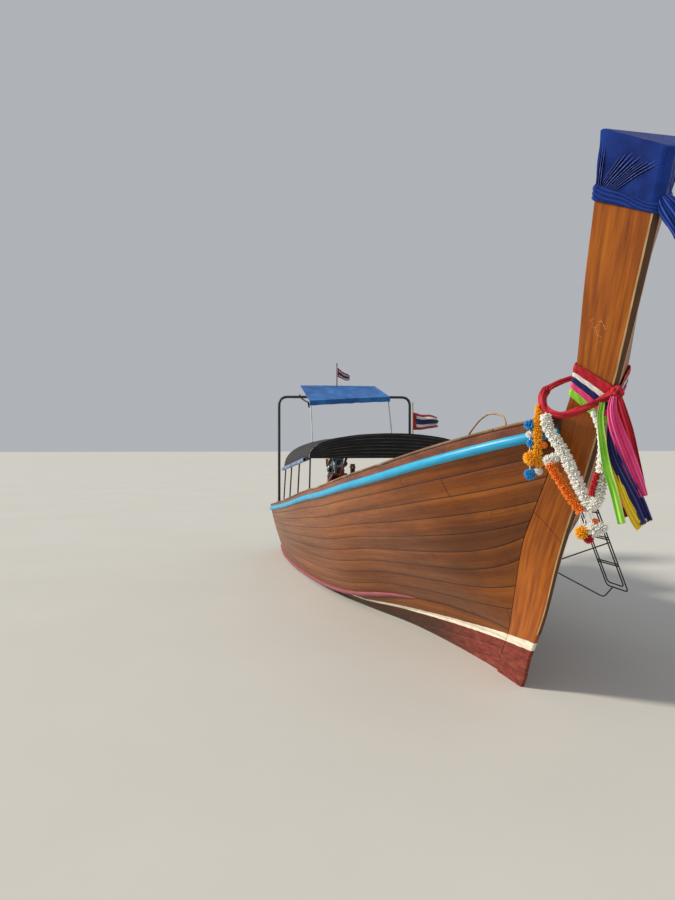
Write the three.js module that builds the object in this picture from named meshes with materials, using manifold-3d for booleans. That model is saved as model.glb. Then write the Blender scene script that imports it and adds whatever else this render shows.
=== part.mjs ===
// A wooden longtail boat with a planked hull, a tall raked prow post, a cloth canopy
// and an outboard engine on a swivel with a long propeller shaft.
// Millimetres, +X forward, +Y to port, +Z up, with the origin amidships on the waterline.
// The lines are given by s, forward of the stem's front edge at the waterline,
// by p, outward from the centreline, and by z, up from the waterline.

import * as THREE from 'three';
import { mergeVertices } from 'three/addons/utils/BufferGeometryUtils.js';
import Module from 'manifold-3d';

const wasm = await Module();
wasm.setup();

// Driving dimensions.
const STEM_X = 4200;
const GAP = 0.4;
const PLANK = 30;
const RIB_DEPTH = 55;
const RIB_WIDTH = 45;
const CAP_THICKNESS = 20;
const CAP_WIDTH = 95;
const RAIL_RADIUS = 40;
const STRAKE_RADIUS = 30;
const STEPS_PER_STATION = 3;
const BOTTOM_SWELL = 55;
const TRANSOM_THICKNESS = 45;
const FLOOR_Z = 215;
const BENCH_TOP = 620;
const AFT_DECK_Z = 720;
const DECK_DROP = 70;
const BOARD = 28;
const CLOTH = 8;
const BOW_TRIM = 6;
const TUBE_SIDES = 6;
const FAR = { aft: -12000, fore: 4000, side: 3000, low: -2000, high: 6000 };

const COLORS = {
  varnish: 0x8a4a16,
  stem: 0xa05a20,
  dark: 0x5a3418,
  antifouling: 0x7a2e22,
  strake: 0x9c3f45,
  rail: 0x1fa0d8,
  washboard: 0x7c4022,
  steel: 0x4a4d52,
  tarp: 0x2f6fb5,
  roof: 0x2b2c31,
  cane: 0xb59a6a,
  engine: 0x26262a,
  red: 0xb3202c,
  pink: 0xe0457a,
  lime: 0xa8f05a,
  navy: 0x23255e,
  royal: 0x24357f,
  white: 0xf0ece0,
  marigold: 0xf2a51c,
  orange: 0xee6a1c,
  flower: 0x2f7fd0,
  bronze: 0xb08a4a,
};

// Hull stations from the transom to the stem. swell is how far the side stands out
// at its middle; h is the height of the washboard above the rail.
const STATIONS = [
  { keel: [-8450, -190], chine: [-8450, 1030, 65], swell: 15, rail: [-8450, 1250, 842], h: 70 },
  { keel: [-7300, -270], chine: [-7300, 1105, 45], swell: 20, rail: [-7300, 1265, 966], h: 75 },
  { keel: [-5800, -330], chine: [-5800, 1070, 48], swell: 30, rail: [-5800, 1262, 1145], h: 85 },
  { keel: [-4300, -350], chine: [-4300, 925, 85], swell: 45, rail: [-4300, 1245, 1349], h: 92 },
  { keel: [-3100, -355], chine: [-3200, 765, 185], swell: 60, rail: [-3100, 1212, 1492], h: 98 },
  { keel: [-2050, -345], chine: [-2250, 465, 345], swell: 80, rail: [-2040, 1165, 1642], h: 104 },
  { keel: [-1300, -300], chine: [-1400, 255, 425], swell: 105, rail: [-1000, 1060, 1795], h: 108 },
  { keel: [-850, -215], chine: [-800, 140, 455], swell: 105, rail: [-100, 862, 1960], h: 112 },
  { keel: [-620, -130], chine: [-400, 75, 462], swell: 70, rail: [560, 540, 2110], h: 115 },
  { keel: [-480, -60], chine: [-163, 50, 461], swell: 40, rail: [985, 210, 2215], h: 118 },
];

// The stem and prow post in sections along its front edge: the nose [s, z, half width]
// and the after corners [s, z, p]. Rows 2 to 10 are where the planking ends.
const STEM = [
  { nose: [-900, -345, 25], corner: [-930, -235, 34] },
  { nose: [-550, -280, 22], corner: [-660, -150, 34] },
  { nose: [-300, -200, 20], corner: [-480, -60, 35] },
  { nose: [0, 0, 18], corner: [-340, 190, 38] },
  { nose: [147, 300, 18], corner: [-163, 461, 50] },
  { nose: [382, 686, 18], corner: [54, 856, 100] },
  { nose: [589, 1155, 18], corner: [323, 1293, 170] },
  { nose: [752, 1474, 20], corner: [557, 1575, 200] },
  { nose: [965, 1820, 22], corner: [820, 1910, 214] },
  { nose: [1133, 2150, 22], corner: [975, 2215, 210] },
  { nose: [1192, 2270, 22], corner: [1024, 2333, 205] },
  { nose: [1347, 2540, 22], corner: [1160, 2620, 202] },
  { nose: [1588, 3130, 28], corner: [1305, 3212, 224] },
  { nose: [1758, 3570, 29], corner: [1476, 3680, 262] },
  { nose: [1878, 3900, 30], corner: [1600, 4106, 287] },
];
const FIRST_PLANKED_ROW = 2;
const BOTTOM_ROWS = 2;
const SIDE_ROWS = 5;
const BLEND_START = 0.8;

// Fittings.
const RIBS = { first: -8000, last: -1000, spacing: 700, joint: -4850 };
const BENCHES = { first: -6450, last: -2950, spacing: 700, width: 240 };
const RISER = { depth: 70, width: 28, aft: -6900, forward: -2600 };
const FLOOR = { aft: -7450, forward: -2350, thickness: 25 };
const AFT_DECK = { aft: -8430, forward: -7500, thickness: 30 };
const FOREDECK = { aft: -1450, thickness: 30 };

// Canopy, arch and tarp.
const ROOF = {
  aft: -6600, forward: -4000, half: 1200, aftEave: 1710, foreEave: 1940, aftRise: 540, foreRise: 340,
};
const ROOF_POSTS = [-6600, -5850, -5000, -4000];
const ROOF_TUBE = 14;
const ROOF_LAP = 40;
const GABLE = { near: 16, far: 24 };
const ARCH = { starboard: -7300, port: -6930, inboard: 42, top: 3050, radius: 25, corner: 170 };
const TARP = {
  fore: -6800, aft: -7900, middle: -35, half: 765, slope: -0.308, twist: 4.6e-5, valance: 90, hem: 5,
};
const BATTEN = 11;
const TARP_OVER = 10.5;
const CURTAIN = { radius: 34, aft: 60, forward: 120 };

// Flags on their staffs, places by [s, p] and the fly by [p, z, width].
const STAFF = { stern: [-7840, 0], sternTop: 3790, roof: [-5500, -820], roofTop: 2870, radius: 11 };
const STERN_FLAG = [[-14, 3600, 185], [-90, 3555, 165], [-180, 3512, 130], [-265, 3485, 90]];
const ROOF_FLAG = [[-826, 2540, 285], [-970, 2525, 250], [-1110, 2538, 200], [-1270, 2520, 140]];

// Cane hoop on the foredeck: where its feet stand, and [s, z] over its crown.
const HOOP = {
  aft: -1375, fore: -385, radius: 10,
  crown: [[-1330, 2060], [-1208, 2208], [-972, 2341], [-772, 2408],
    [-601, 2421], [-403, 2391], [-326, 2320], [-345, 2220]],
};

// Boarding ladder over the port bow: a stile by [p, z] from its foot up to its hook, the rungs'
// heights, and the braces that hold it off the planking by [s, p, z].
const LADDER = { aft: -1170, fore: -800, rod: 7, pair: 45, bend: 45, rungPair: 11 };
const STILE = [[1610, 590], [1129.5, 1765], [1129.5, 2015], [915, 2015], [915, 1700]];
const RUNG_HEIGHTS = [870, 1150, 1430, 1710];
const LADDER_BRACES = [
  [[-1170, 400, 1072], [-1165, 1568, 460], [-1060, 1608, 592]],
  [[-800, 300, 805], [-800, 1380, 1110]],
];

// Engine and its swivel.
const PIVOT = { s: -8050, z: 1330 };
const SHAFT_SLOPE = THREE.MathUtils.degToRad(19.5);
const SHAFT = { z: 150, end: -3640, radius: 24 };
const PROPELLER = { radius: 155, hub: 34, length: 90, blades: 3 };
const ENGINE = { aft: -90, forward: 530, half: 205, bottom: 80, top: 560 };
const SOCKET = { top: 1240, half: 80, hole: 22.8, pin: 22.2, depth: 140 };
const TRUNNION = { pin: 14.5, hole: 15.2, cheek: 12, inner: 92 };

// Rows of the post, at its front edge and at its after corners, that the wound ribbons and the
// cloth cap pass; the cap's third column is how far it stands out.
const WRAP_GROW = 18;
const WRAPS = [[10, 10.6], [10.5, 10.88], [10.96, 11.14]];
const CAP_CLOTH = [[12.95, 13.06, 12], [13.1, 13.2, 16], [13.38, 13.42, 13], [13.55, 13.6, 10], [14, 14, 10]];
const CLOTH_TAIL = {
  route: [[1804, -10, 3600], [1826, -65, 3510], [1810, -100, 3385]], width: [70, 110, 130], thickness: 34,
};
const SASH = [
  [1345, 20, 2466], [1235, 130, 2380], [1110, 235, 2330], [1010, 310, 2365],
  [925, 335, 2450], [905, 275, 2530], [960, 160, 2590], [1060, 60, 2625], [1100, 20, 2630],
];
const GARLANDS = [
  { name: 'garland_white', color: 'white', radius: 42, route: [
    [1008, 336, 2335], [1012, 322, 2240], [1065, 235, 2064], [1120, 165, 1866], [1180, 95, 1690],
    [1232, 66, 1755], [1255, 58, 1950], [1262, 70, 2200], [1243, 112, 2350]] },
  { name: 'garland_marigold', color: 'marigold', radius: 20, route: [
    [932, 338, 2405], [930, 360, 2280], [935, 364, 2140], [935, 366, 2000]] },
  { name: 'garland_orange', color: 'orange', radius: 24, route: [
    [968, 366, 2408], [972, 420, 2250], [1015, 360, 2060], [1035, 300, 1934],
    [1090, 215, 1770], [1150, 150, 1640], [1152, 140, 1540], [1152, 140, 1430]] },
  { name: 'garland_blue', color: 'flower', radius: 28, route: [
    [905, 372, 2452], [893, 408, 2360], [893, 412, 2200], [893, 414, 2050], [893, 414, 1870]] },
];
const TAILS = [
  { name: 'ribbon_tail_pink', color: 'pink', width: [50, 90, 105, 90], route: [
    [1368, 35, 2440], [1352, 5, 2200], [1352, -95, 1950], [1350, -190, 1740]] },
  { name: 'ribbon_tail_lime', color: 'lime', width: [30, 40, 50, 50, 50], route: [
    [1295, 70, 2420], [1322, 105, 2300], [1345, 105, 2150], [1350, 60, 1900], [1350, -35, 1575]] },
  { name: 'ribbon_tail_navy', color: 'navy', width: [40, 60, 80, 90], route: [
    [1392, 5, 2440], [1396, -15, 2200], [1400, -70, 1900], [1392, -190, 1565]] },
];
const KNOT = { place: [1366, 0, 2474], radius: 50 };

const group = new THREE.Group();

function place(s, p, z) {
  return new THREE.Vector3(STEM_X + s, -p, z);
}

function material(color, roughness, metalness) {
  return new THREE.MeshStandardMaterial({ color, roughness, metalness });
}

// Triangles and solids.

function signedVolume(points, triangles) {
  let sum = 0;
  for (const [a, b, c] of triangles) {
    sum += points[a].dot(new THREE.Vector3().crossVectors(points[b], points[c]));
  }
  return sum / 6;
}

function solidOf(points, triangles) {
  const outward = signedVolume(points, triangles) > 0;
  const turned = outward ? triangles : triangles.map(([a, b, c]) => [a, c, b]);
  const vertProperties = new Float32Array(points.flatMap((point) => point.toArray()));
  const triVerts = new Uint32Array(turned.flat());
  return new wasm.Manifold(new wasm.Mesh({ numProp: 3, vertProperties, triVerts }));
}

function solidOfGeometry(geometry) {
  const bare = geometry.clone();
  bare.deleteAttribute('normal');
  bare.deleteAttribute('uv');
  const merged = mergeVertices(bare, 1e-3);
  const corners = merged.attributes.position;
  const points = [];
  for (let i = 0; i < corners.count; i += 1) {
    points.push(new THREE.Vector3().fromBufferAttribute(corners, i));
  }
  const triangles = [];
  for (let i = 0; i < merged.index.count; i += 3) {
    triangles.push([merged.index.getX(i), merged.index.getX(i + 1), merged.index.getX(i + 2)]);
  }
  return solidOf(points, triangles.filter(([a, b, c]) => a !== b && b !== c && c !== a));
}

function flatArea(ring, u, v) {
  let sum = 0;
  ring.forEach((point, i) => {
    const next = ring[(i + 1) % ring.length];
    sum += point[u] * next[v] - next[u] * point[v];
  });
  return sum / 2;
}

// The triangles that close a ring, wound the way the ring runs.
function capOf(ring) {
  const planes = [['x', 'y'], ['y', 'z'], ['z', 'x']];
  const sizes = planes.map(([u, v]) => Math.abs(flatArea(ring, u, v)));
  const [u, v] = planes[sizes.indexOf(Math.max(...sizes))];
  const flat = ring.map((point) => new THREE.Vector2(point[u], point[v]));
  const direction = Math.sign(flatArea(ring, u, v));
  return THREE.ShapeUtils.triangulateShape(flat, []).map((face) => {
    const side = Math.sign(flatArea(face.map((i) => ring[i]), u, v));
    return side === direction ? face : [face[0], face[2], face[1]];
  });
}

// A closed body through rings of equal point count.
function loft(rings) {
  const n = rings[0].length;
  const last = (rings.length - 1) * n;
  const triangles = [];
  for (let i = 0; i + 1 < rings.length; i += 1) {
    for (let j = 0; j < n; j += 1) {
      const a = i * n + j;
      const b = i * n + ((j + 1) % n);
      triangles.push([a, b, b + n], [a, b + n, a + n]);
    }
  }
  capOf(rings[0]).forEach(([a, b, c]) => triangles.push([a, c, b]));
  capOf(rings.at(-1)).forEach(([a, b, c]) => triangles.push([a + last, b + last, c + last]));
  return solidOf(rings.flat(), triangles);
}

function box(sFrom, sTo, yFrom, yTo, zFrom, zTo) {
  const geometry = new THREE.BoxGeometry(sTo - sFrom, yTo - yFrom, zTo - zFrom);
  geometry.translate(STEM_X + (sFrom + sTo) / 2, (yFrom + yTo) / 2, (zFrom + zTo) / 2);
  return solidOfGeometry(geometry);
}

// A box from below the keel to above the tarp.
function acrossBox(sFrom, sTo, yFrom = -FAR.side, yTo = FAR.side) {
  return box(sFrom, sTo, yFrom, yTo, FAR.low, FAR.high);
}

function union(solids) {
  return solids.reduce((sum, next) => sum.add(next));
}

function without(solid, ...others) {
  return others.reduce((rest, next) => rest.subtract(next), solid);
}

function biggest(solid) {
  return solid.decompose().reduce((best, next) => (next.volume() > best.volume() ? next : best));
}

function mesh(name, solid, look) {
  const result = solid.getMesh();
  const geometry = new THREE.BufferGeometry();
  const positions = new Float32Array(result.numVert * 3);
  for (let i = 0; i < result.numVert; i += 1) {
    positions.set(result.vertProperties.subarray(i * result.numProp, i * result.numProp + 3), i * 3);
  }
  geometry.setAttribute('position', new THREE.BufferAttribute(positions, 3));
  geometry.setIndex(new THREE.BufferAttribute(new Uint32Array(result.triVerts), 1));
  geometry.computeVertexNormals();
  const body = new THREE.Mesh(geometry, look);
  body.name = name;
  return body;
}

function add(name, solid, look, parent = group) {
  parent.add(mesh(name, solid, look));
}

// Routes for tubes and straps.

// A route whose steps fall on its own points, so a bend has only the rings it needs.
class Route extends THREE.Curve {
  constructor(points) {
    super();
    this.points = points;
  }

  getPoint(t, target = new THREE.Vector3()) {
    const at = THREE.MathUtils.clamp(t, 0, 1) * (this.points.length - 1);
    const index = Math.min(Math.floor(at), this.points.length - 2);
    return target.lerpVectors(this.points[index], this.points[index + 1], at - index);
  }

  getTangent(t, target = new THREE.Vector3()) {
    const index = Math.round(THREE.MathUtils.clamp(t, 0, 1) * (this.points.length - 1));
    const here = this.points[index];
    const before = this.points[Math.max(index - 1, 0)];
    const after = this.points[Math.min(index + 1, this.points.length - 1)];
    const arriving = here.clone().sub(before).normalize();
    const leaving = after.clone().sub(here).normalize();
    return target.addVectors(arriving, leaving).normalize();
  }

  getUtoTmapping(u) {
    return u;
  }
}

// The points with each inner corner rounded to the radius.
function rounded(points, radius, count = 4) {
  const route = [points[0]];
  for (let i = 1; i + 1 < points.length; i += 1) {
    const before = points[i].clone().add(points[i - 1].clone().sub(points[i]).setLength(radius));
    const after = points[i].clone().add(points[i + 1].clone().sub(points[i]).setLength(radius));
    const bend = new THREE.QuadraticBezierCurve3(before, points[i], after);
    route.push(...bend.getPoints(count));
  }
  route.push(points.at(-1));
  return route;
}

function smooth(points, count) {
  return new THREE.CatmullRomCurve3(points, false, 'centripetal').getPoints(count);
}

function tube(points, radius, sides = TUBE_SIDES) {
  const round = new THREE.Shape();
  for (let i = 0; i < sides; i += 1) {
    const angle = (i / sides) * Math.PI * 2;
    const corner = [radius * Math.cos(angle), radius * Math.sin(angle)];
    if (i === 0) round.moveTo(...corner);
    else round.lineTo(...corner);
  }
  round.closePath();
  const settings = { steps: points.length - 1, bevelEnabled: false, extrudePath: new Route(points) };
  return solidOfGeometry(new THREE.ExtrudeGeometry(round, settings));
}

// A flat strap along points, its width lying across the route in the direction given.
function strap(points, widths, thickness, across) {
  const route = new Route(points);
  const rings = points.map((point, i) => {
    const along = route.getTangent(i / (points.length - 1));
    const side = across.clone().sub(along.clone().multiplyScalar(across.dot(along))).normalize();
    const up = new THREE.Vector3().crossVectors(along, side);
    const half = (Array.isArray(widths) ? widths[i] : widths) / 2;
    return [[-1, -1], [1, -1], [1, 1], [-1, 1]].map(([a, b]) => point.clone()
      .addScaledVector(side, a * half)
      .addScaledVector(up, (b * thickness) / 2));
  });
  return loft(rings);
}

// Hull lines.

function smoothColumn(values, at) {
  const index = Math.min(Math.floor(at), values.length - 2);
  const u = at - index;
  const p1 = values[index];
  const p2 = values[index + 1];
  const p0 = index > 0 ? values[index - 1] : 2 * p1 - p2;
  const p3 = index + 2 < values.length ? values[index + 2] : 2 * p2 - p1;
  const cubic = (-p0 + 3 * p1 - 3 * p2 + p3) * u ** 3 + (2 * p0 - 5 * p1 + 4 * p2 - p3) * u ** 2;
  return 0.5 * (cubic + (p2 - p0) * u) + p1;
}

function station(t) {
  const at = t * (STATIONS.length - 1);
  const column = (pick) => smoothColumn(STATIONS.map(pick), at);
  return {
    keel: [column((row) => row.keel[0]), 0, column((row) => row.keel[1])],
    chine: [0, 1, 2].map((i) => column((row) => row.chine[i])),
    rail: [0, 1, 2].map((i) => column((row) => row.rail[i])),
    swell: column((row) => row.swell),
    h: column((row) => row.h),
  };
}

// Half a section from the keel to the sheer as [s, p, z] points.
function plainSection(t) {
  const { keel, chine, rail, swell, h } = station(t);
  const between = (from, to, share, bulge, lift) => {
    const point = from.map((value, i) => value + (to[i] - value) * share);
    const crown = 4 * share * (1 - share);
    return [point[0], point[1] + bulge * crown, point[2] - lift * crown];
  };
  const fullness = THREE.MathUtils.smoothstep(chine[1], 100, 700);
  const points = [];
  for (let j = 0; j < BOTTOM_ROWS; j += 1) {
    points.push(between(keel, chine, j / BOTTOM_ROWS, 0, BOTTOM_SWELL * fullness));
  }
  for (let j = 0; j <= SIDE_ROWS; j += 1) {
    points.push(between(chine, rail, j / SIDE_ROWS, swell, 0));
  }
  const top = points.at(-1);
  points.push([top[0] + 0.3 * h * t, top[1] + 0.12 * h, top[2] + h]);
  return points;
}

const PLANKED = STEM.slice(FIRST_PLANKED_ROW, FIRST_PLANKED_ROW + BOTTOM_ROWS + SIDE_ROWS + 2);
const STEM_LINE = PLANKED.map(({ corner }, j) => (j === 0 ? [corner[0], 0, corner[1]]
  : [corner[0], corner[2], corner[1]]));
const PLAIN_STEM = plainSection(1);

// The section bent towards the stem's after corners over the last part of its length.
function section(t) {
  const ease = Math.max(0, (t - BLEND_START) / (1 - BLEND_START)) ** 2;
  return plainSection(t).map((point, j) => point.map((value, i) => {
    return value + ease * (STEM_LINE[j][i] - PLAIN_STEM[j][i]);
  }));
}

const COLUMNS = (STATIONS.length - 1) * STEPS_PER_STATION;
const SKIN = Array.from({ length: COLUMNS + 1 }, (_, i) => section(i / COLUMNS)
  .map(([s, p, z]) => new THREE.Vector3(s, p, z)));
const CHINE_ROW = BOTTOM_ROWS;
const RAIL_ROW = BOTTOM_ROWS + SIDE_ROWS;

function skinNormal(i, j, jOther) {
  const before = SKIN[Math.max(i - 1, 0)][j];
  const after = SKIN[Math.min(i + 1, COLUMNS)][j];
  const along = after.clone().sub(before);
  const up = SKIN[i][jOther].clone().sub(SKIN[i][j]).multiplyScalar(Math.sign(jOther - j));
  return new THREE.Vector3().crossVectors(up, along).normalize();
}

// The move that carries a skin point inward by one unit of thickness, mitred at corners.
function inwardMove(i, j) {
  const rows = SKIN[i].length;
  if (j === 0) {
    const normal = skinNormal(i, 0, 1);
    return new THREE.Vector3(0, 0, Math.min(1 / Math.max(Math.abs(normal.z), 0.34), 3));
  }
  const below = skinNormal(i, j, j - 1);
  const above = j + 1 < rows ? skinNormal(i, j, j + 1) : below;
  const sum = below.clone().add(above).divideScalar(1 + below.dot(above));
  return sum.multiplyScalar(sum.y > 0 ? -1 : 1);
}

// A closed body inside the hull's surface by the distance given, lidded at its top.
function hullBody(inset, lift, aftReach, foreReach, foreTrim = 0) {
  const halves = SKIN.map((row, i) => row.map((point, j) => {
    const moved = point.clone().addScaledVector(inwardMove(i, j), inset);
    if (j > 0) moved.y = Math.max(moved.y, 1);
    if (i === COLUMNS) moved.x -= foreTrim;
    return moved;
  }));
  const stretched = [
    halves[0].map((point) => point.clone().add(new THREE.Vector3(-aftReach, 0, 0))),
    ...halves,
  ];
  if (foreReach) {
    stretched.push(halves.at(-1).map((point, j) => {
      const [noseS, noseZ] = PLANKED[j].nose;
      const nose = new THREE.Vector3(noseS, 0, noseZ);
      return point.clone().lerp(nose, foreReach).setY(point.y * 0.5);
    }));
  }
  const rings = stretched.map((row) => {
    const raised = [...row];
    if (lift) raised.push(row.at(-1).clone().add(new THREE.Vector3(0, 0, lift)));
    const starboard = raised.map(({ x, y, z }) => place(x, y, z));
    const port = raised.slice(1).map(({ x, y, z }) => place(x, -y, z)).reverse();
    return [...starboard, ...port];
  });
  return loft(rings);
}

// All that lies below a line that runs along the skin, raised by the rise given.
function belowRow(j, rise) {
  const line = SKIN.map((row) => row[j]);
  const ends = [line[0].clone().setX(line[0].x - 600), ...line, line.at(-1).clone().setX(FAR.fore)];
  const rings = ends.map(({ x, z }) => [
    place(x, FAR.side, z + rise),
    place(x, -FAR.side, z + rise),
    place(x, -FAR.side, FAR.low),
    place(x, FAR.side, FAR.low),
  ]);
  return loft(rings);
}

const PORT_HALF = acrossBox(FAR.aft, FAR.fore, GAP / 2, FAR.side);
const STARBOARD_HALF = acrossBox(FAR.aft, FAR.fore, -FAR.side, -GAP / 2);
const HALVES = [['stbd', STARBOARD_HALF, 1], ['port', PORT_HALF, -1]];

const outer = hullBody(0, 0, 0, 0.35);
const outerKeepout = hullBody(-GAP, 60, 2, 0.35);
const hollow = hullBody(PLANK, 400, 300, 0);
const insideTall = hullBody(PLANK + GAP, 400, 0, 0, BOW_TRIM);
const insideRibs = hullBody(PLANK + GAP + RIB_DEPTH, 400, 200, 0);
const clearOfRibs = hullBody(PLANK + 2 * GAP + RIB_DEPTH, 400, 0, 0, BOW_TRIM);

// Stem and prow post.

function stemRing({ nose, corner }, grow = 0) {
  const away = new THREE.Vector2(nose[0] - corner[0], nose[1] - corner[1]).setLength(grow);
  const [ns, nz] = [nose[0] + away.x, nose[1] + away.y];
  const [cs, cz] = [corner[0] - away.x, corner[1] - away.y];
  const [nw, cw] = [nose[2] + grow, corner[2] + 1.6 * grow];
  return [place(ns, nw, nz), place(ns, -nw, nz), place(cs, -cw, cz), place(cs, cw, cz)];
}

function stemRow(at) {
  const index = Math.min(Math.floor(at), STEM.length - 2);
  const mix = (pick) => [0, 1, 2].map((i) => {
    const [from, to] = [pick(STEM[index])[i], pick(STEM[index + 1])[i]];
    return from + (to - from) * (at - index);
  });
  return { nose: mix((row) => row.nose), corner: mix((row) => row.corner) };
}

function stemSolid(grow, from = 0, to = STEM.length - 1) {
  const places = [from, ...STEM.keys()].filter((at) => at >= from && at <= to);
  const rows = [...new Set([...places, to])].map(stemRow);
  return loft(rows.map((row) => stemRing(row, grow)));
}

// A section past an end of the post, further along the line from its neighbour.
function stemBeyond(end, neighbour, overshoot) {
  const stretch = (edge) => [0, 1].map((i) => {
    return end[edge][i] + (end[edge][i] - neighbour[edge][i]) * overshoot;
  });
  return { nose: [...stretch('nose'), end.nose[2]], corner: [...stretch('corner'), end.corner[2]] };
}

function stemTop(overshoot) {
  return stemBeyond(STEM.at(-1), STEM.at(-2), overshoot);
}

function stemKeepout() {
  const rows = [stemBeyond(STEM[0], STEM[1], 0.002), ...STEM, stemTop(0.002)];
  return loft(rows.map((row) => stemRing(row, GAP)));
}

const stem = stemSolid(0);
const stemClear = stemKeepout();

// Keel, planking and transom.

function keelSolid() {
  const half = 38;
  const rings = SKIN.map((row) => row[0]).map(({ x, z }) => [
    place(x, half, z - 75),
    place(x, -half, z - 75),
    place(x, -half, z + 60),
    place(x, half, z + 60),
  ]);
  return biggest(without(loft(rings), outerKeepout, stemClear));
}

function buildPlanking() {
  const shell = without(outer.subtract(hollow), stemClear);
  const belowChine = belowRow(CHINE_ROW, -GAP / 2);
  const belowChineClear = belowRow(CHINE_ROW, GAP / 2);
  const belowRail = belowRow(RAIL_ROW, -GAP / 2);
  const belowRailClear = belowRow(RAIL_ROW, GAP / 2);
  for (const [side, half, sign] of HALVES) {
    const skin = shell.intersect(half);
    const bottom = skin.intersect(belowChine);
    const planks = skin.intersect(belowRail).subtract(belowChineClear);
    const washboard = skin.subtract(belowRailClear).add(capStrip(sign).subtract(stemClear));
    add(`bottom_planking_${side}`, biggest(bottom), material(COLORS.antifouling, 0.7, 0));
    add(`side_planking_${side}`, biggest(planks), material(COLORS.varnish, 0.45, 0));
    add(`washboard_${side}`, biggest(washboard), material(COLORS.washboard, 0.5, 0));
  }
}

function capStrip(sign) {
  const rings = SKIN.map((row, i) => {
    const top = row.at(-1);
    const flare = inwardMove(i, row.length - 1).setZ(0).normalize();
    const edge = (reach, rise) => {
      return place(top.x + flare.x * reach, sign * Math.max(top.y + flare.y * reach, 1), top.z + rise);
    };
    const [out, into] = [-10, CAP_WIDTH - 10];
    return [edge(out, -1), edge(into, -1), edge(into, CAP_THICKNESS), edge(out, CAP_THICKNESS)];
  });
  return loft(rings).intersect(sign > 0 ? STARBOARD_HALF : PORT_HALF);
}

function transomSolid() {
  const half = SKIN[0].map(({ x, y, z }) => new THREE.Vector3(Math.min(x, SKIN[0][0].x), y, z));
  const ringAt = (shift) => {
    const aft = Math.min(...half.map(({ x }) => x)) - GAP - shift;
    const starboard = half.map(({ y, z }) => place(aft, y, z));
    const port = half.slice(1).map(({ y, z }) => place(aft, -y, z)).reverse();
    return [...starboard, ...port];
  };
  return loft([ringAt(0), ringAt(TRANSOM_THICKNESS)]);
}

// Rub rails and chine strakes.

function edgeRod(j, sign, radius, from, to, lift) {
  const points = [];
  for (let i = from; i <= to; i += 1) {
    const { x, y, z } = SKIN[i][j];
    points.push(place(x, sign * (y + 3), z + lift));
  }
  return tube(points, radius, 8);
}

function buildRails() {
  const behindTransom = acrossBox(FAR.aft, SKIN[0][0].x);
  const strakeEnd = SKIN.findIndex((row) => row[CHINE_ROW].x > -1850);
  for (const [side, , sign] of HALVES) {
    const rail = edgeRod(RAIL_ROW, sign, RAIL_RADIUS, 0, COLUMNS, 0).subtract(behindTransom);
    const strake = edgeRod(CHINE_ROW, sign, STRAKE_RADIUS, 0, strakeEnd, 0).subtract(behindTransom);
    add(`rub_rail_${side}`, biggest(without(rail, outerKeepout, stemClear)), material(COLORS.rail, 0.4, 0));
    add(`chine_strake_${side}`, biggest(without(strake, outerKeepout)), material(COLORS.strake, 0.5, 0));
  }
}

// Frames, decks and benches.

const SHEER_ROW = RAIL_ROW + 1;
const deckTop = belowRow(SHEER_ROW, -DECK_DROP);
const deckBottom = belowRow(SHEER_ROW, -DECK_DROP - FOREDECK.thickness);
const clampTop = belowRow(SHEER_ROW, -DECK_DROP - FOREDECK.thickness - GAP);
const clampBottom = belowRow(SHEER_ROW, -DECK_DROP - FOREDECK.thickness - 90);

// The ribs stand from the floor boards up to the clamp that joins them under the sheer.
function buildFrames() {
  const ribBand = insideTall.subtract(insideRibs).intersect(clampTop);
  const clampBand = ribBand.subtract(clampBottom);
  const bilge = box(FAR.aft, FLOOR.forward, -FAR.side, FAR.side, FAR.low, FLOOR_Z - 2);
  const lengths = [['aft', FAR.aft, RIBS.joint - GAP], ['fore', RIBS.joint, FAR.fore]];
  for (const [end, from, to] of lengths) {
    const slabs = [];
    for (let s = RIBS.first; s <= RIBS.last; s += RIBS.spacing) {
      const slab = acrossBox(s - RIB_WIDTH / 2, s + RIB_WIDTH / 2);
      if (s > from && s < to) slabs.push(slab);
    }
    const ribs = ribBand.intersect(union(slabs)).subtract(bilge);
    const reach = acrossBox(from, to);
    const all = clampBand.intersect(reach).add(ribs).subtract(stemClear);
    for (const [side, half] of HALVES) {
      add(`frames_${end}_${side}`, biggest(all.intersect(half)), material(COLORS.dark, 0.6, 0));
    }
  }
}

function buildDecks() {
  const floor = box(FLOOR.aft, FLOOR.forward, -FAR.side, FAR.side, FLOOR_Z, FLOOR_Z + FLOOR.thickness);
  add('floor_boards', biggest(floor.intersect(clearOfRibs)), material(COLORS.dark, 0.7, 0));
  const aftTop = AFT_DECK_Z + AFT_DECK.thickness;
  const aft = box(AFT_DECK.aft, AFT_DECK.forward, -FAR.side, FAR.side, AFT_DECK_Z, aftTop);
  add('aft_deck', biggest(aft.intersect(clearOfRibs)), material(COLORS.dark, 0.7, 0));
  const reach = acrossBox(FOREDECK.aft, FAR.fore);
  const fore = insideTall.intersect(deckTop).subtract(deckBottom).intersect(reach);
  add('foredeck', biggest(without(fore, stemClear)), material(COLORS.varnish, 0.6, 0));
}

function buildBenches() {
  const room = clearOfRibs.subtract(hullBody(PLANK + 2 * GAP + RIB_DEPTH + RISER.width, 400, 0, 0));
  const riserTop = BENCH_TOP - BOARD;
  const band = box(RISER.aft, RISER.forward, -FAR.side, FAR.side, riserTop - RISER.depth, riserTop);
  const boards = [];
  for (let s = BENCHES.first; s <= BENCHES.last; s += BENCHES.spacing) {
    const [aft, forward] = [s - BENCHES.width / 2, s + BENCHES.width / 2];
    boards.push(box(aft, forward, -FAR.side, FAR.side, BENCH_TOP - BOARD - 1, BENCH_TOP));
  }
  const seats = union(boards).intersect(clearOfRibs);
  add('benches', seats.add(room.intersect(band)), material(COLORS.varnish, 0.6, 0));
}

// Canopy over the passengers.

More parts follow.
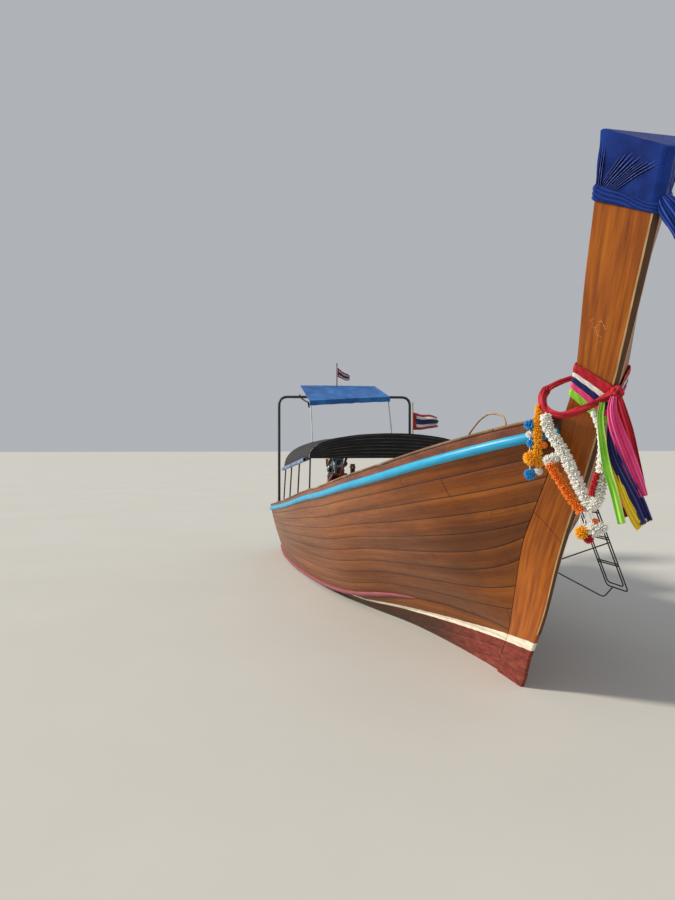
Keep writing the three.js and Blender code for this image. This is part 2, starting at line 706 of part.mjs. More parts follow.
function eaveZ(s) {
  return THREE.MathUtils.mapLinear(s, ROOF.aft, ROOF.forward, ROOF.aftEave, ROOF.foreEave);
}

function roofRise(s) {
  return THREE.MathUtils.mapLinear(s, ROOF.aft, ROOF.forward, ROOF.aftRise, ROOF.foreRise);
}

// Points over the roof from the starboard eave to the port one, raised by the lift given.
function roofArc(s, lift, count = 10) {
  const points = [];
  for (let i = 0; i <= count; i += 1) {
    const turn = Math.PI * (i / count);
    const across = Math.cos(turn);
    const up = Math.sin(turn) ** 0.75;
    points.push(place(s, (ROOF.half + lift) * across, eaveZ(s) + (roofRise(s) + lift) * up));
  }
  return points;
}

function capTopAt(s) {
  const line = SKIN.map((row) => row.at(-1));
  const index = line.findIndex((point) => point.x > s);
  const [before, after] = [line[index - 1], line[index]];
  const share = (s - before.x) / (after.x - before.x);
  const point = before.clone().lerp(after, share);
  return { p: point.y, z: point.z + CAP_THICKNESS };
}

// Each side has an eave rail on posts; the hoops spring from the rails.
function eaveRail(sign, radius) {
  const at = (s) => place(s, sign * ROOF.half, eaveZ(s));
  return tube([at(ROOF.aft - 15), at(ROOF.forward + 15)], radius);
}

function buildRoofPosts() {
  for (const [side, , sign] of HALVES) {
    const parts = [eaveRail(sign, ROOF_TUBE)];
    for (const s of ROOF_POSTS) {
      const { p, z } = capTopAt(s);
      const y = -sign * (p - 40);
      const head = place(s, sign * ROOF.half, eaveZ(s) - 3);
      parts.push(tube([place(s, sign * (p - 40), z - 6), head], ROOF_TUBE - 2));
      parts.push(box(s - 45, s + 45, y - 32, y + 32, z - 6, z + 14));
    }
    add(`roof_posts_${side}`, union(parts).subtract(capClear(sign)), material(COLORS.steel, 0.5, 0.6));
  }
}

function buildRoofFrame() {
  const parts = ROOF_POSTS.map((s) => tube(roofArc(s, 0), ROOF_TUBE));
  for (const share of [0.2, 0.5, 0.8]) {
    const at = (s) => roofArc(s, 0, 20)[Math.round(share * 20)];
    parts.push(tube([at(ROOF.aft - 15), at(ROOF.forward + 15)], ROOF_TUBE - 1));
  }
  const rails = [1, -1].map((sign) => eaveRail(sign, ROOF_TUBE + GAP));
  add('roof_frame', biggest(without(union(parts), ...rails)), material(COLORS.steel, 0.5, 0.6));
}

function roofShell(from, to, low, high) {
  const ringAt = (s) => [...roofArc(s, high), ...roofArc(s, low).reverse()];
  const inner = ROOF_POSTS.filter((s) => s > from && s < to);
  return loft([from, ...inner, to].map(ringAt));
}

function buildRoof() {
  const low = ROOF_TUBE + GAP + 1;
  const canvas = roofShell(ROOF.aft - ROOF_LAP, ROOF.forward + GABLE.near - 2, low, low + CLOTH);
  add('roof_canvas', canvas, material(COLORS.roof, 0.9, 0));
  const gable = loft([GABLE.near, GABLE.far].map((reach) => roofArc(ROOF.forward + reach, low + CLOTH)));
  add('roof_gable', gable, material(COLORS.roof, 0.9, 0));
  for (const [side, , sign] of HALVES) {
    const reach = ROOF.half + low + CLOTH + CURTAIN.radius - 1;
    const ends = [ROOF.aft + CURTAIN.aft, ROOF.forward - CURTAIN.forward];
    const roll = tube(ends.map((s) => place(s, sign * reach, eaveZ(s) - 4)), CURTAIN.radius, 12);
    add(`curtain_roll_${side}`, roll, material(COLORS.tarp, 0.8, 0));
  }
}

// Stern arch, tarp and flags.

// The arch stands a little askew: its port foot is further forward.
function archFoot(sign) {
  const s = sign > 0 ? ARCH.starboard : ARCH.port;
  const { p, z } = capTopAt(s);
  return { s, p: sign * (p - ARCH.inboard), z };
}

function archTube(radius) {
  const [starboard, port] = [archFoot(1), archFoot(-1)];
  const low = ({ s, p, z }) => place(s, p, z - 15);
  const high = ({ s, p }) => place(s, p, ARCH.top);
  return tube(rounded([low(starboard), high(starboard), high(port), low(port)], ARCH.corner), radius, 10);
}

function buildArch() {
  const plates = [1, -1].map((sign) => {
    const { s, p, z } = archFoot(sign);
    return box(s - 60, s + 60, -p - 35, -p + 35, z - 15, z + 18);
  });
  const arch = without(union([archTube(ARCH.radius), ...plates]), capClear(1), capClear(-1));
  add('stern_arch', arch, material(COLORS.steel, 0.5, 0.6));
}

// Heights of the battens' middles: they lie on the arch, which crosses them askew.
function tarpZ(s, p) {
  const [starboard, port] = [archFoot(1), archFoot(-1)];
  const barS = THREE.MathUtils.mapLinear(p, starboard.p, port.p, starboard.s, port.s);
  return ARCH.top + 0.95 * (ARCH.radius + BATTEN) + (TARP.slope - TARP.twist * p) * (s - barS);
}

// The tarp's cross section at s, between two heights above its battens' middles.
function tarpRing(s, low, high) {
  const edges = [-1, -0.5, 0, 0.5, 1].map((share) => TARP.middle + TARP.half * share);
  const under = edges.map((p) => place(s, p, tarpZ(s, p) + low));
  const over = edges.toReversed().map((p) => place(s, p, tarpZ(s, p) + high));
  return [...under, ...over];
}

function tarpTop(low, high) {
  return loft([TARP.aft, (TARP.aft + TARP.fore) / 2, TARP.fore].map((s) => tarpRing(s, low, high)));
}

function buildTarp() {
  const crest = TARP_OVER + CLOTH;
  const front = loft([TARP.fore - 2, TARP.fore + CLOTH].map((s) => tarpRing(s, -TARP.valance, crest)));
  const sides = [1, -1].map((sign) => {
    const [near, far] = [TARP.half - 2, TARP.half + CLOTH].map((reach) => TARP.middle + sign * reach);
    const corners = [[near, -TARP.hem], [far, -TARP.hem], [far, crest], [near, crest]];
    const slab = (s) => corners.map(([p, rise]) => place(s, p, tarpZ(s, near) + rise));
    return loft([TARP.aft, TARP.fore + CLOTH].map(slab));
  });
  add('stern_tarp', union([tarpTop(TARP_OVER, crest), front, ...sides]), material(COLORS.tarp, 0.8, 0));
}

function buildTarpFrame() {
  const at = (s, p) => place(s, p, tarpZ(s, p));
  const [starboard, port] = [1, -1].map((sign) => TARP.middle + sign * (TARP.half - 25));
  const [fore, aft] = [TARP.fore - 48, TARP.aft + 15];
  const parts = [fore, aft].map((s) => tube([at(s, starboard), at(s, port)], BATTEN));
  const foot = ROOF.aft + 20;
  const surface = roofKeepout(0);
  parts.push(tube([at(aft, TARP.middle), at(fore, TARP.middle)], BATTEN));
  for (const p of [starboard, port]) {
    const pole = tube([at(fore, p), place(foot, p, eaveZ(foot) + 250)], BATTEN);
    parts.push(tube([at(aft, p), at(fore, p)], BATTEN), biggest(without(pole, surface)));
  }
  const frame = without(union(parts), tarpTop(TARP_OVER - GAP, 60), archTube(ARCH.radius + GAP));
  add('tarp_frame', frame, material(COLORS.white, 0.6, 0.2));
}

// The canopy's cloth with its gap, from a depth below it.
function roofKeepout(depth) {
  const top = ROOF_TUBE + CLOTH + 1 + 2 * GAP;
  return roofShell(ROOF.aft - ROOF_LAP, ROOF.forward + GABLE.near - 2, ROOF_TUBE - depth, top);
}

function buildFlags() {
  const { radius } = STAFF;
  const raise = ([s, p], from, to, grow) => tube([place(s, p, from), place(s, p, to)], radius + grow);
  const fly = ([s], route) => {
    const points = route.map(([p, z]) => place(s, p, z));
    return strap(points, route.map(([, , width]) => width), 14, new THREE.Vector3(0, 0, 1));
  };
  const staffs = [
    ['stern', STAFF.stern, STAFF.sternTop, tarpTop(-200, TARP_OVER + CLOTH + GAP), STERN_FLAG],
    ['roof', STAFF.roof, STAFF.roofTop, roofKeepout(200), ROOF_FLAG],
  ];
  for (const [name, foot, top, under, route] of staffs) {
    const staff = biggest(raise(foot, top - 1000, top, 0).subtract(under));
    const flag = biggest(fly(foot, route).subtract(raise(foot, top - 1100, top + 100, GAP)));
    add(`flag_staff_${name}`, staff, material(COLORS.cane, 0.6, 0));
    add(`flag_${name}`, flag, material(COLORS.red, 0.8, 0));
  }
}

// Ladder, bow hoop and cleats.

// Two bent rods, one inside the other, with paired rungs across and a brace at each side.
function buildLadder() {
  const { aft, fore, rod, pair, bend, rungPair } = LADDER;
  const [[footP, footZ], [bendP, bendZ]] = STILE;
  const stileP = (z) => footP + ((bendP - footP) * (z - footZ)) / (bendZ - footZ);
  const at = (s, z) => place(s, -stileP(z), z);
  const hook = (s) => STILE.map(([p, z]) => place(s, -p, z));
  const top = RUNG_HEIGHTS.at(-1);
  const [innerAft, innerFore, innerFoot] = [aft + pair, fore - pair, footZ + pair];
  const inner = [at(innerAft, top), at(innerAft, innerFoot), at(innerFore, innerFoot), at(innerFore, top)];
  const parts = [
    tube(rounded([...hook(aft).reverse(), ...hook(fore)], bend), rod),
    tube(rounded(inner, bend), rod),
  ];
  for (const height of RUNG_HEIGHTS) {
    for (const z of [height - rungPair, height + rungPair]) parts.push(tube([at(aft, z), at(fore, z)], rod));
  }
  for (const route of LADDER_BRACES) {
    parts.push(tube(rounded(route.map(([s, p, z]) => place(s, -p, z)), bend), rod));
  }
  const shell = outerKeepout.subtract(insideTall);
  const deck = belowRow(SHEER_ROW, -DECK_DROP + GAP).intersect(insideTall);
  const clear = without(union(parts), shell, deck, capClear(-1), railClear(-1));
  add('boarding_ladder', biggest(clear), material(COLORS.steel, 0.5, 0.7));
}

function capClear(sign) {
  const corners = [[15, -10], [-90, -10], [-90, CAP_THICKNESS + GAP], [15, CAP_THICKNESS + GAP]];
  const rings = SKIN.map((row) => {
    const { x, y, z } = row.at(-1);
    return corners.map(([out, up]) => place(x, sign * (y + out), z + up));
  });
  return loft(rings.slice(0, -STEPS_PER_STATION));
}

function railClear(sign) {
  return edgeRod(RAIL_ROW, sign, RAIL_RADIUS + GAP, 0, COLUMNS, 0);
}

function deckZ(s) {
  const line = SKIN.map((row) => row[SHEER_ROW]);
  const index = line.findIndex((point) => point.x > s);
  const share = (s - line[index - 1].x) / (line[index].x - line[index - 1].x);
  return line[index - 1].z + (line[index].z - line[index - 1].z) * share - DECK_DROP;
}

function buildBowHoop() {
  const foot = (s) => place(s, 0, deckZ(s) - 5);
  const crown = HOOP.crown.map(([s, z]) => place(s, 0, z));
  const cane = tube(smooth([foot(HOOP.aft), ...crown, foot(HOOP.fore)], 20), HOOP.radius, 8);
  const clear = biggest(without(cane, belowRow(SHEER_ROW, -DECK_DROP + GAP)));
  add('bow_hoop', clear, material(COLORS.cane, 0.6, 0));
}

function buildCleats() {
  const s = -1750;
  for (const [side, , sign] of HALVES) {
    const { p, z } = capTopAt(s);
    const y = -sign * (p - 42);
    const post = box(s - 22, s + 22, y - 22, y + 22, z + GAP + 4, z + 110);
    const horn = box(s - 80, s + 80, y - 14, y + 14, z + 62, z + 88);
    add(`cleat_${side}`, post.add(horn), material(COLORS.dark, 0.6, 0));
  }
}

// Cloth cap, ribbons and garlands on the prow.

// A section across the post that meets its front edge and its after corners at their own rows.
function slantRow(noseAt, cornerAt) {
  return { nose: stemRow(noseAt).nose, corner: stemRow(cornerAt).corner };
}

function wrapSolid(grow) {
  return loft(WRAPS.map(([noseAt, cornerAt]) => stemRing(slantRow(noseAt, cornerAt), grow)));
}

function capOfCloth(grow) {
  const rings = CAP_CLOTH.map(([noseAt, cornerAt, out]) => stemRing(slantRow(noseAt, cornerAt), out + grow));
  return [...rings, stemRing(stemTop(0.035), 9 + grow)];
}

function buildProwDress() {
  add('prow_cloth', loft(capOfCloth(0)).subtract(stemClear), material(COLORS.royal, 0.5, 0));
  add('ribbon_wraps', without(wrapSolid(WRAP_GROW), stemClear), material(COLORS.navy, 0.6, 0));
  const { route, width, thickness } = CLOTH_TAIL;
  const across = new THREE.Vector3(0.5, 1, 0);
  const tail = strap(route.map(([s, p, z]) => place(s, p, z)), width, thickness, across);
  const clear = biggest(without(tail, loft(capOfCloth(GAP)), stemClear));
  add('cloth_tail', clear, material(COLORS.royal, 0.5, 0));
  buildRibbons(wrapSolid(WRAP_GROW + GAP));
}

function buildRibbons(wrapClear) {
  const at = ([s, p, z]) => place(s, p, z);
  const loop = smooth(SASH.map(at), 26);
  const sashSolid = (grow) => {
    const knot = new THREE.SphereGeometry(KNOT.radius + grow, 12, 8).translate(...at(KNOT.place).toArray());
    return solidOfGeometry(knot).add(tube(loop, 24 + grow, 8));
  };
  const sash = without(sashSolid(0), wrapClear, stemClear);
  add('red_sash', biggest(sash), material(COLORS.red, 0.6, 0));
  const keepout = union([sashSolid(GAP), wrapClear, stemClear]);
  for (const { name, color, radius, route } of GARLANDS) {
    const rope = tube(smooth(route.map(at), 18), radius, 8);
    add(name, biggest(without(rope, keepout, outerKeepout, railClear(1))), material(COLORS[color], 0.9, 0));
  }
  for (const { name, color, width, route } of TAILS) {
    const ribbon = strap(route.map(at), width, 14, new THREE.Vector3(0.25, 1, 0));
    add(name, biggest(without(ribbon, keepout)), material(COLORS[color], 0.6, 0));
  }
}

// Motor: the crossbeam and post carry the socket; the yoke turns in it and the engine tilts.

function upright(radius, fromZ, toZ, sides = 24) {
  const round = new THREE.CylinderGeometry(radius, radius, toZ - fromZ, sides);
  round.rotateX(Math.PI / 2);
  round.translate(STEM_X + PIVOT.s, 0, (fromZ + toZ) / 2);
  return solidOfGeometry(round);
}

function crosswise(radius, half, sides = 24) {
  const round = new THREE.CylinderGeometry(radius, radius, 2 * half, sides);
  round.translate(STEM_X + PIVOT.s, 0, PIVOT.z);
  return solidOfGeometry(round);
}

function buildMotorMount() {
  const top = AFT_DECK_Z + AFT_DECK.thickness + GAP;
  const beam = box(PIVOT.s - 80, PIVOT.s + 80, -FAR.side, FAR.side, top, top + 140).intersect(clearOfRibs);
  const post = box(PIVOT.s - SOCKET.half, PIVOT.s + SOCKET.half, -SOCKET.half, SOCKET.half, top, SOCKET.top);
  const hole = upright(SOCKET.hole, SOCKET.top - SOCKET.depth, SOCKET.top + 5);
  add('motor_post', beam.add(post).subtract(hole), material(COLORS.dark, 0.6, 0));
}

function buildYoke() {
  const base = SOCKET.top + GAP;
  const pin = upright(SOCKET.pin, SOCKET.top - SOCKET.depth + 5, base + 5);
  const { inner, cheek, hole } = TRUNNION;
  const plate = box(PIVOT.s - 60, PIVOT.s + 60, -inner - cheek, inner + cheek, base, base + 12);
  const cheeks = [[-inner - cheek, -inner], [inner, inner + cheek]].map(([from, to]) => {
    return box(PIVOT.s - 26, PIVOT.s + 26, from, to, base, PIVOT.z + 20);
  });
  const yoke = union([pin, plate, ...cheeks]).subtract(crosswise(hole, 200));
  add('swivel_yoke', yoke, material(COLORS.steel, 0.5, 0.7));
}

// Places in the motor's own frame: forward along the shaft and up from the pivot.
const motorTurn = new THREE.Matrix4()
  .makeTranslation(STEM_X + PIVOT.s, 0, PIVOT.z)
  .multiply(new THREE.Matrix4().makeRotationY(-SHAFT_SLOPE));

function motorPoint(x, y, z) {
  return new THREE.Vector3(x, y, z).applyMatrix4(motorTurn);
}

function motorBox(x0, x1, y0, y1, z0, z1) {
  const geometry = new THREE.BoxGeometry(x1 - x0, y1 - y0, z1 - z0);
  geometry.translate((x0 + x1) / 2, (y0 + y1) / 2, (z0 + z1) / 2);
  return solidOfGeometry(geometry.applyMatrix4(motorTurn));
}

function motorTube(points, radius, sides = 12, bend = 0) {
  const route = points.map((point) => motorPoint(...point));
  return tube(bend ? rounded(route, bend) : route, radius, sides);
}

function buildMotor() {
  const { inner, cheek, pin } = TRUNNION;
  const bedTop = ENGINE.bottom - GAP;
  const bed = [];
  for (const y of [-130, 130]) bed.push(motorBox(-120, 540, y - 20, y + 20, bedTop - 40, bedTop));
  for (const x of [-100, 520]) bed.push(motorBox(x - 20, x + 20, -150, 150, bedTop - 40, bedTop));
  bed.push(motorBox(-45, 45, -150, 150, bedTop - 40, bedTop));
  bed.push(motorBox(-25, 25, -60, 60, -20, bedTop - 20));
  bed.push(crosswise(pin, inner + cheek + 8));
  bed.push(crosswise(26, 60));
  bed.push(motorTube([[520, 0, 30], [700, 0, 60], [1180, 0, 170]], 17, 12, 60));
  bed.push(motorTube([[1100, 0, 151], [1180, 0, 170], [1240, 0, 184]], 22));
  add('engine_cradle', union(bed), material(COLORS.red, 0.5, 0.4));
  const { aft, forward, half, bottom, top } = ENGINE;
  const block = [
    motorBox(aft, forward, -half, half, bottom, top - 170),
    motorBox(aft + 60, forward - 60, -half + 40, half - 50, bottom + 20, top),
  ];
  add('engine_block', union(block), material(COLORS.engine, 0.5, 0.5));
  const start = aft - GAP;
  const shaft = [
    motorTube([[start, 0, SHAFT.z], [start - 40, 0, SHAFT.z], [-170, 0, SHAFT.z]], 62, 16),
    motorTube([[-150, 0, SHAFT.z], [SHAFT.end, 0, SHAFT.z]], SHAFT.radius),
    motorTube([[-140, 0, SHAFT.z + 50], [-160, 0, 330], [-1500, 0, SHAFT.z + 10]], 12),
    motorBox(-3560, -3400, -4, 4, SHAFT.z - 190, SHAFT.z - 10),
  ];
  add('shaft_tube', union(shaft), material(COLORS.steel, 0.45, 0.8));
  add('propeller', propellerSolid(), material(COLORS.bronze, 0.35, 0.9));
}

function propellerSolid() {
  const { radius, hub, length, blades } = PROPELLER;
  const from = SHAFT.end - GAP - 0.2;
  const parts = [motorTube([[from, 0, SHAFT.z], [from - length, 0, SHAFT.z]], hub, 16)];
  for (let i = 0; i < blades; i += 1) {
    const turn = (i / blades) * Math.PI * 2;
    const blade = new THREE.Shape();
    blade.moveTo(-18, 20);
    blade.bezierCurveTo(-75, 70, -60, 150, 0, radius);
    blade.bezierCurveTo(60, 150, 75, 70, 18, 20);
    blade.closePath();
    const geometry = new THREE.ExtrudeGeometry(blade, { depth: 7, bevelEnabled: false, curveSegments: 6 });
    geometry.translate(0, 0, -3.5);
    geometry.rotateY(THREE.MathUtils.degToRad(35 + 90));
    geometry.rotateX(Math.PI / 2 + turn);
    geometry.translate(from - length / 2, 0, SHAFT.z);
    parts.push(solidOfGeometry(geometry.applyMatrix4(motorTurn)));
  }
  return union(parts);
}

add('keel', keelSolid(), material(COLORS.antifouling, 0.7, 0));
add('stem_post', stem, material(COLORS.stem, 0.45, 0));
buildPlanking();
add('transom', transomSolid(), material(COLORS.varnish, 0.5, 0));
buildRails();
buildFrames();
buildDecks();
buildBenches();
buildRoofPosts();
buildRoofFrame();
buildRoof();
buildArch();
buildTarp();
buildTarpFrame();
buildFlags();
buildLadder();
buildBowHoop();
buildCleats();
buildProwDress();
buildMotorMount();
buildYoke();
buildMotor();

export default group;
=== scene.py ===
import math

import bpy
import numpy as np
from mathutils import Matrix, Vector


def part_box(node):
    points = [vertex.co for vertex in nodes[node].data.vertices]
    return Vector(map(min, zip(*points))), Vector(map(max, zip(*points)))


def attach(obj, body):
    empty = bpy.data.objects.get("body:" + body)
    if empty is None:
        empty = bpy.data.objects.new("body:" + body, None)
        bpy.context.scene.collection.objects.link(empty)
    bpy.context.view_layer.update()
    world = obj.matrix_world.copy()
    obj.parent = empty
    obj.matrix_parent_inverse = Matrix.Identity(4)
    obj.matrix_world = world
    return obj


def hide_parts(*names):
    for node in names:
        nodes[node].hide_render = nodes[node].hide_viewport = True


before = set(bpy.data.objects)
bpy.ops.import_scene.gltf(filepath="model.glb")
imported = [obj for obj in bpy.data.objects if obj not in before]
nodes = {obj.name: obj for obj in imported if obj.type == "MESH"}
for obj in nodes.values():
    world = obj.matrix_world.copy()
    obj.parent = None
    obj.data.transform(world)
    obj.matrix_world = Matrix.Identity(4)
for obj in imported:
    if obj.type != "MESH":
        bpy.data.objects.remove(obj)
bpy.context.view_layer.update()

# The camera stands on the beach ahead of the starboard bow, at eye height, and looks
# aft along the boat with the prow post at the right edge of its upright frame.
EYE = (9.649, -2.813, 2.1)
HEADING = math.radians(78.0)
DOWNWARD = math.radians(0.25)
camera = bpy.data.objects.new("camera", bpy.data.cameras.new("camera"))
camera.data.lens = 27.04
camera.data.sensor_width = 36
camera.data.clip_end = 500
camera.location = EYE
camera.rotation_euler = (math.pi / 2 - DOWNWARD, 0, HEADING)
bpy.context.scene.collection.objects.link(camera)
bpy.context.scene.camera = camera

# A pale floor lies at the waterline, under a wide soft lamp high on the starboard side
# and an even pale surround.
FLOOR_HALF = 300
SURROUND = (0.86, 0.9, 0.96)


def paint(code):
    """A colour in linear light from its hexadecimal code."""
    share = np.array([int(code[i:i + 2], 16) for i in (0, 2, 4)]) / 255
    linear = np.where(share <= 0.04045, share / 12.92, ((share + 0.055) / 1.055) ** 2.4)
    return (*linear.tolist(), 1.0)


class Look:
    """A procedural material. Its methods add nodes and give back what comes out of them; a
    colour may be its hexadecimal code."""

    def __init__(self, name, **constants):
        self.material = bpy.data.materials.new(name)
        self.material.use_nodes = True
        self.tree = self.material.node_tree
        self.shader = self.tree.nodes["Principled BSDF"]
        for socket, value in constants.items():
            self.shader.inputs[socket.replace("_", " ").title().replace("Ior", "IOR")].default_value = value
        self.place = self.add("TexCoord", {}).outputs["Object"]
        self.cloth = self.add("TexCoord", {}).outputs["UV"]

    def add(self, kind, inputs, **settings):
        node = self.tree.nodes.new("ShaderNode" + kind)
        for setting, value in settings.items():
            setattr(node, setting, value)
        for socket, value in inputs.items():
            if isinstance(value, bpy.types.NodeSocket):
                self.tree.links.new(value, node.inputs[socket])
            else:
                node.inputs[socket].default_value = paint(value) if isinstance(value, str) else value
        return node

    def stretch(self, vector, scale, turn=(0, 0, 0)):
        return self.add("Mapping", {"Vector": vector, "Scale": scale, "Rotation": turn}).outputs[0]

    def noise(self, vector, scale, detail=4.0, roughness=0.55):
        inputs = {"Vector": vector, "Scale": scale, "Detail": detail, "Roughness": roughness}
        return self.add("TexNoise", inputs).outputs[0]

    def axis(self, vector, name):
        return self.add("SeparateXYZ", {"Vector": vector}).outputs[name]

    def mark(self, name):
        return self.add("Attribute", {}, attribute_name=name).outputs["Fac"]

    def calc(self, operation, *values, clamp=False):
        node = self.add("Math", dict(enumerate(values)), operation=operation, use_clamp=clamp)
        return node.outputs[0]

    def plus(self, first, second):
        return self.calc("ADD", first, second)

    def minus(self, first, second):
        return self.calc("SUBTRACT", first, second)

    def times(self, first, second, clamp=False):
        return self.calc("MULTIPLY", first, second, clamp=clamp)

    def off(self, value, middle):
        """How far a value is from a middle, either way."""
        return self.calc("ABSOLUTE", self.minus(value, middle))

    def between(self, value, low, high, to_low=0.0, to_high=1.0):
        inputs = {"Value": value, 1: low, 2: high, 3: to_low, 4: to_high}
        return self.add("MapRange", inputs).outputs[0]

    def mix(self, share, first, second, blend="MIX"):
        node = self.add("Mix", {0: share, 6: first, 7: second}, data_type="RGBA", blend_type=blend)
        return node.outputs[2]

    def ramp(self, value, stops):
        node = self.add("ValToRGB", {"Fac": value})
        for _ in stops[2:]:
            node.color_ramp.elements.new(0.5)
        for element, (position, colour) in zip(node.color_ramp.elements, stops):
            element.position, element.color = position, paint(colour)
        return node.outputs[0]

    def shaded(self, colour, value, low, high):
        """A colour times a grey that goes from low to high as the value goes from 0 to 1."""
        grey = self.between(value, 0, 1, low, high)
        tint = self.add("CombineColor", {0: grey, 1: grey, 2: grey}).outputs[0]
        return self.mix(1.0, colour, tint, "MULTIPLY")

    def linked(self, socket):
        """What already feeds one of the shader's sockets."""
        return self.shader.inputs[socket].links[0].from_socket

    def bump(self, height, distance, strength=1.0, normal=None):
        inputs = {"Height": height, "Distance": distance, "Strength": strength}
        node = self.add("Bump", {**inputs, **({"Normal": normal} if normal else {})})
        return node.outputs[0]

    def finish(self, colour, roughness=None, normal=None):
        ends = {"Base Color": colour, "Roughness": roughness, "Normal": normal}
        for socket, value in ends.items():
            if isinstance(value, bpy.types.NodeSocket):
                self.tree.links.new(value, self.shader.inputs[socket])
            elif value is not None:
                self.shader.inputs[socket].default_value = value
        return self.material


def piece(name, parts, material, body="hull", stands_for=(), marks=None, sharp=35):
    """One object from parts, each (points, faces, corner places), on its CAD body."""
    points, faces, corners, start = [], [], [], 0
    for part_points, part_faces, part_corners in parts:
        faces += [[start + k for k in face] for face in part_faces]
        corners.append(part_corners)
        points.append(part_points)
        start += len(part_points)
    mesh = bpy.data.meshes.new(name)
    mesh.from_pydata(np.concatenate(points).tolist(), [], faces)
    mesh.uv_layers.new(name="UVMap").data.foreach_set("uv", np.concatenate(corners).ravel())
    mesh.polygons.foreach_set("use_smooth", np.ones(len(faces), bool))
    mesh.set_sharp_from_angle(angle=math.radians(sharp))
    for mark, values in (marks or {}).items():
        mesh.attributes.new(mark, "FLOAT", "POINT").data.foreach_set("value", values.ravel())
    mesh.materials.append(material)
    made = bpy.data.objects.new(name, mesh)
    bpy.context.scene.collection.objects.link(made)
    if body:
        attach(made, body)
    if stands_for:
        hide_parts(*stands_for)
    return made


def running(points, axis):
    """Lengths run along one axis of a grid, averaged over the other."""
    steps = np.linalg.norm(np.diff(points, axis=axis), axis=2).mean(axis=1 - axis)
    return np.concatenate([[0.0], np.cumsum(steps)])


def skin(points, wrap=False, capped=False):
    """Quads over a grid of points, outward where it is closed. wrap joins the last column to
    the first; capped closes the first and last rows. Corner places are lengths in metres."""
    m, n = points.shape[:2]
    i, j = np.meshgrid(np.arange(m - 1), np.arange(n if wrap else n - 1), indexing="ij")
    i, j = i.ravel(), j.ravel()
    rows = np.stack([i, i + 1, i + 1, i], 1)
    columns = np.stack([j, j, j + 1, j + 1], 1)
    quads = rows * n + columns % n
    ring = np.concatenate([points, points[:, :1]], 1) if wrap else points
    along, across = running(points, 0), running(ring, 1)
    corners = np.stack([along[rows], across[columns]], -1).reshape(-1, 2)
    faces = quads.tolist()
    if capped:
        flat = ring[[0, -1]][:, :n]
        level = flat - flat.mean(1, keepdims=True)
        faces += [list(range(n)), [(m - 1) * n + k for k in range(n)][::-1]]
        for k, order in ((0, slice(None)), (1, slice(None, None, -1))):
            corners = np.concatenate([corners, level[k][order][:, [0, 2]]])
    if capped and wrap:
        flat = points.reshape(-1, 3)
        centre = flat.mean(0)
        a, b, c, d = (flat[quads[:, k]] - centre for k in range(4))
        volume = (np.cross(a, b) * c).sum() + (np.cross(a, c) * d).sum()
        if volume < 0:
            faces, corners = turned(faces, corners)
    return points.reshape(-1, 3), faces, corners


def turned(faces, corners):
    """The same faces seen from their other side."""
    ends = np.cumsum([len(face) for face in faces])
    split = np.split(corners, ends[:-1])
    return [face[::-1] for face in faces], np.concatenate([part[::-1] for part in split])


floor_half = np.array([-FLOOR_HALF, FLOOR_HALF], float)
floor_x, floor_y = np.meshgrid(floor_half, floor_half, indexing="ij")
floor_look = Look("pale_floor", roughness=0.9)
floor_tone = floor_look.noise(floor_look.place, 0.4)
floor_material = floor_look.finish(floor_look.mix(floor_tone, "c9c6be", "d3d1cb"))
floor = piece("floor", [skin(np.stack([floor_x, floor_y, 0 * floor_x], -1))], floor_material, body=None)

sun = bpy.data.objects.new("lamp", bpy.data.lights.new("lamp", "SUN"))
sun.data.energy = 3.4
sun.data.angle = math.radians(9)
sun.data.color = (1.0, 0.94, 0.83)
sun.rotation_euler = (math.radians(59), 0, math.radians(-16))
bpy.context.scene.collection.objects.link(sun)
surround = bpy.data.worlds.new("surround")
surround.use_nodes = True
surround.node_tree.nodes["Background"].inputs["Color"].default_value = (*SURROUND, 1)
surround.node_tree.nodes["Background"].inputs["Strength"].default_value = 0.5
bpy.context.scene.world = surround
bpy.context.scene.view_settings.view_transform = "Standard"

# The hull is carvel planked: narrow boards of varnished hardwood run from the transom to
# the stem, edge to edge with dark caulked seams, flat below the chine and swelling above
# it, with butt joints staggered from board to board.
STEM_X = 4.2
PLANK = 0.03
BOTTOM_SWELL = 0.055
BLEND_START = 0.8
SEAM_DEPTH = 0.004
CENTRE_GAP = 0.0006
STEM_END = 0.9995
BOARDS = {"bottom": 5, "side": 9}
BUTTS = {"every": 2.9, "stagger": 5.33, "gap": 0.0022}
# keel s, z | chine s, p, z | swell | rail s, p, z | washboard height
STATIONS = np.array([
    [-8450, -190, -8450, 1030, 65, 15, -8450, 1250, 842, 70],
    [-7300, -270, -7300, 1105, 45, 20, -7300, 1265, 966, 75],
    [-5800, -330, -5800, 1070, 48, 30, -5800, 1262, 1145, 85],
    [-4300, -350, -4300, 925, 85, 45, -4300, 1245, 1349, 92],
    [-3100, -355, -3200, 765, 185, 60, -3100, 1212, 1492, 98],
    [-2050, -345, -2250, 465, 345, 80, -2040, 1165, 1642, 104],
    [-1300, -300, -1400, 255, 425, 105, -1000, 1060, 1795, 108],
    [-850, -215, -800, 140, 455, 105, -100, 862, 1960, 112],
    [-620, -130, -400, 75, 462, 70, 560, 540, 2110, 115],
    [-480, -60, -163, 50, 461, 40, 985, 210, 2215, 118],
]) / 1000
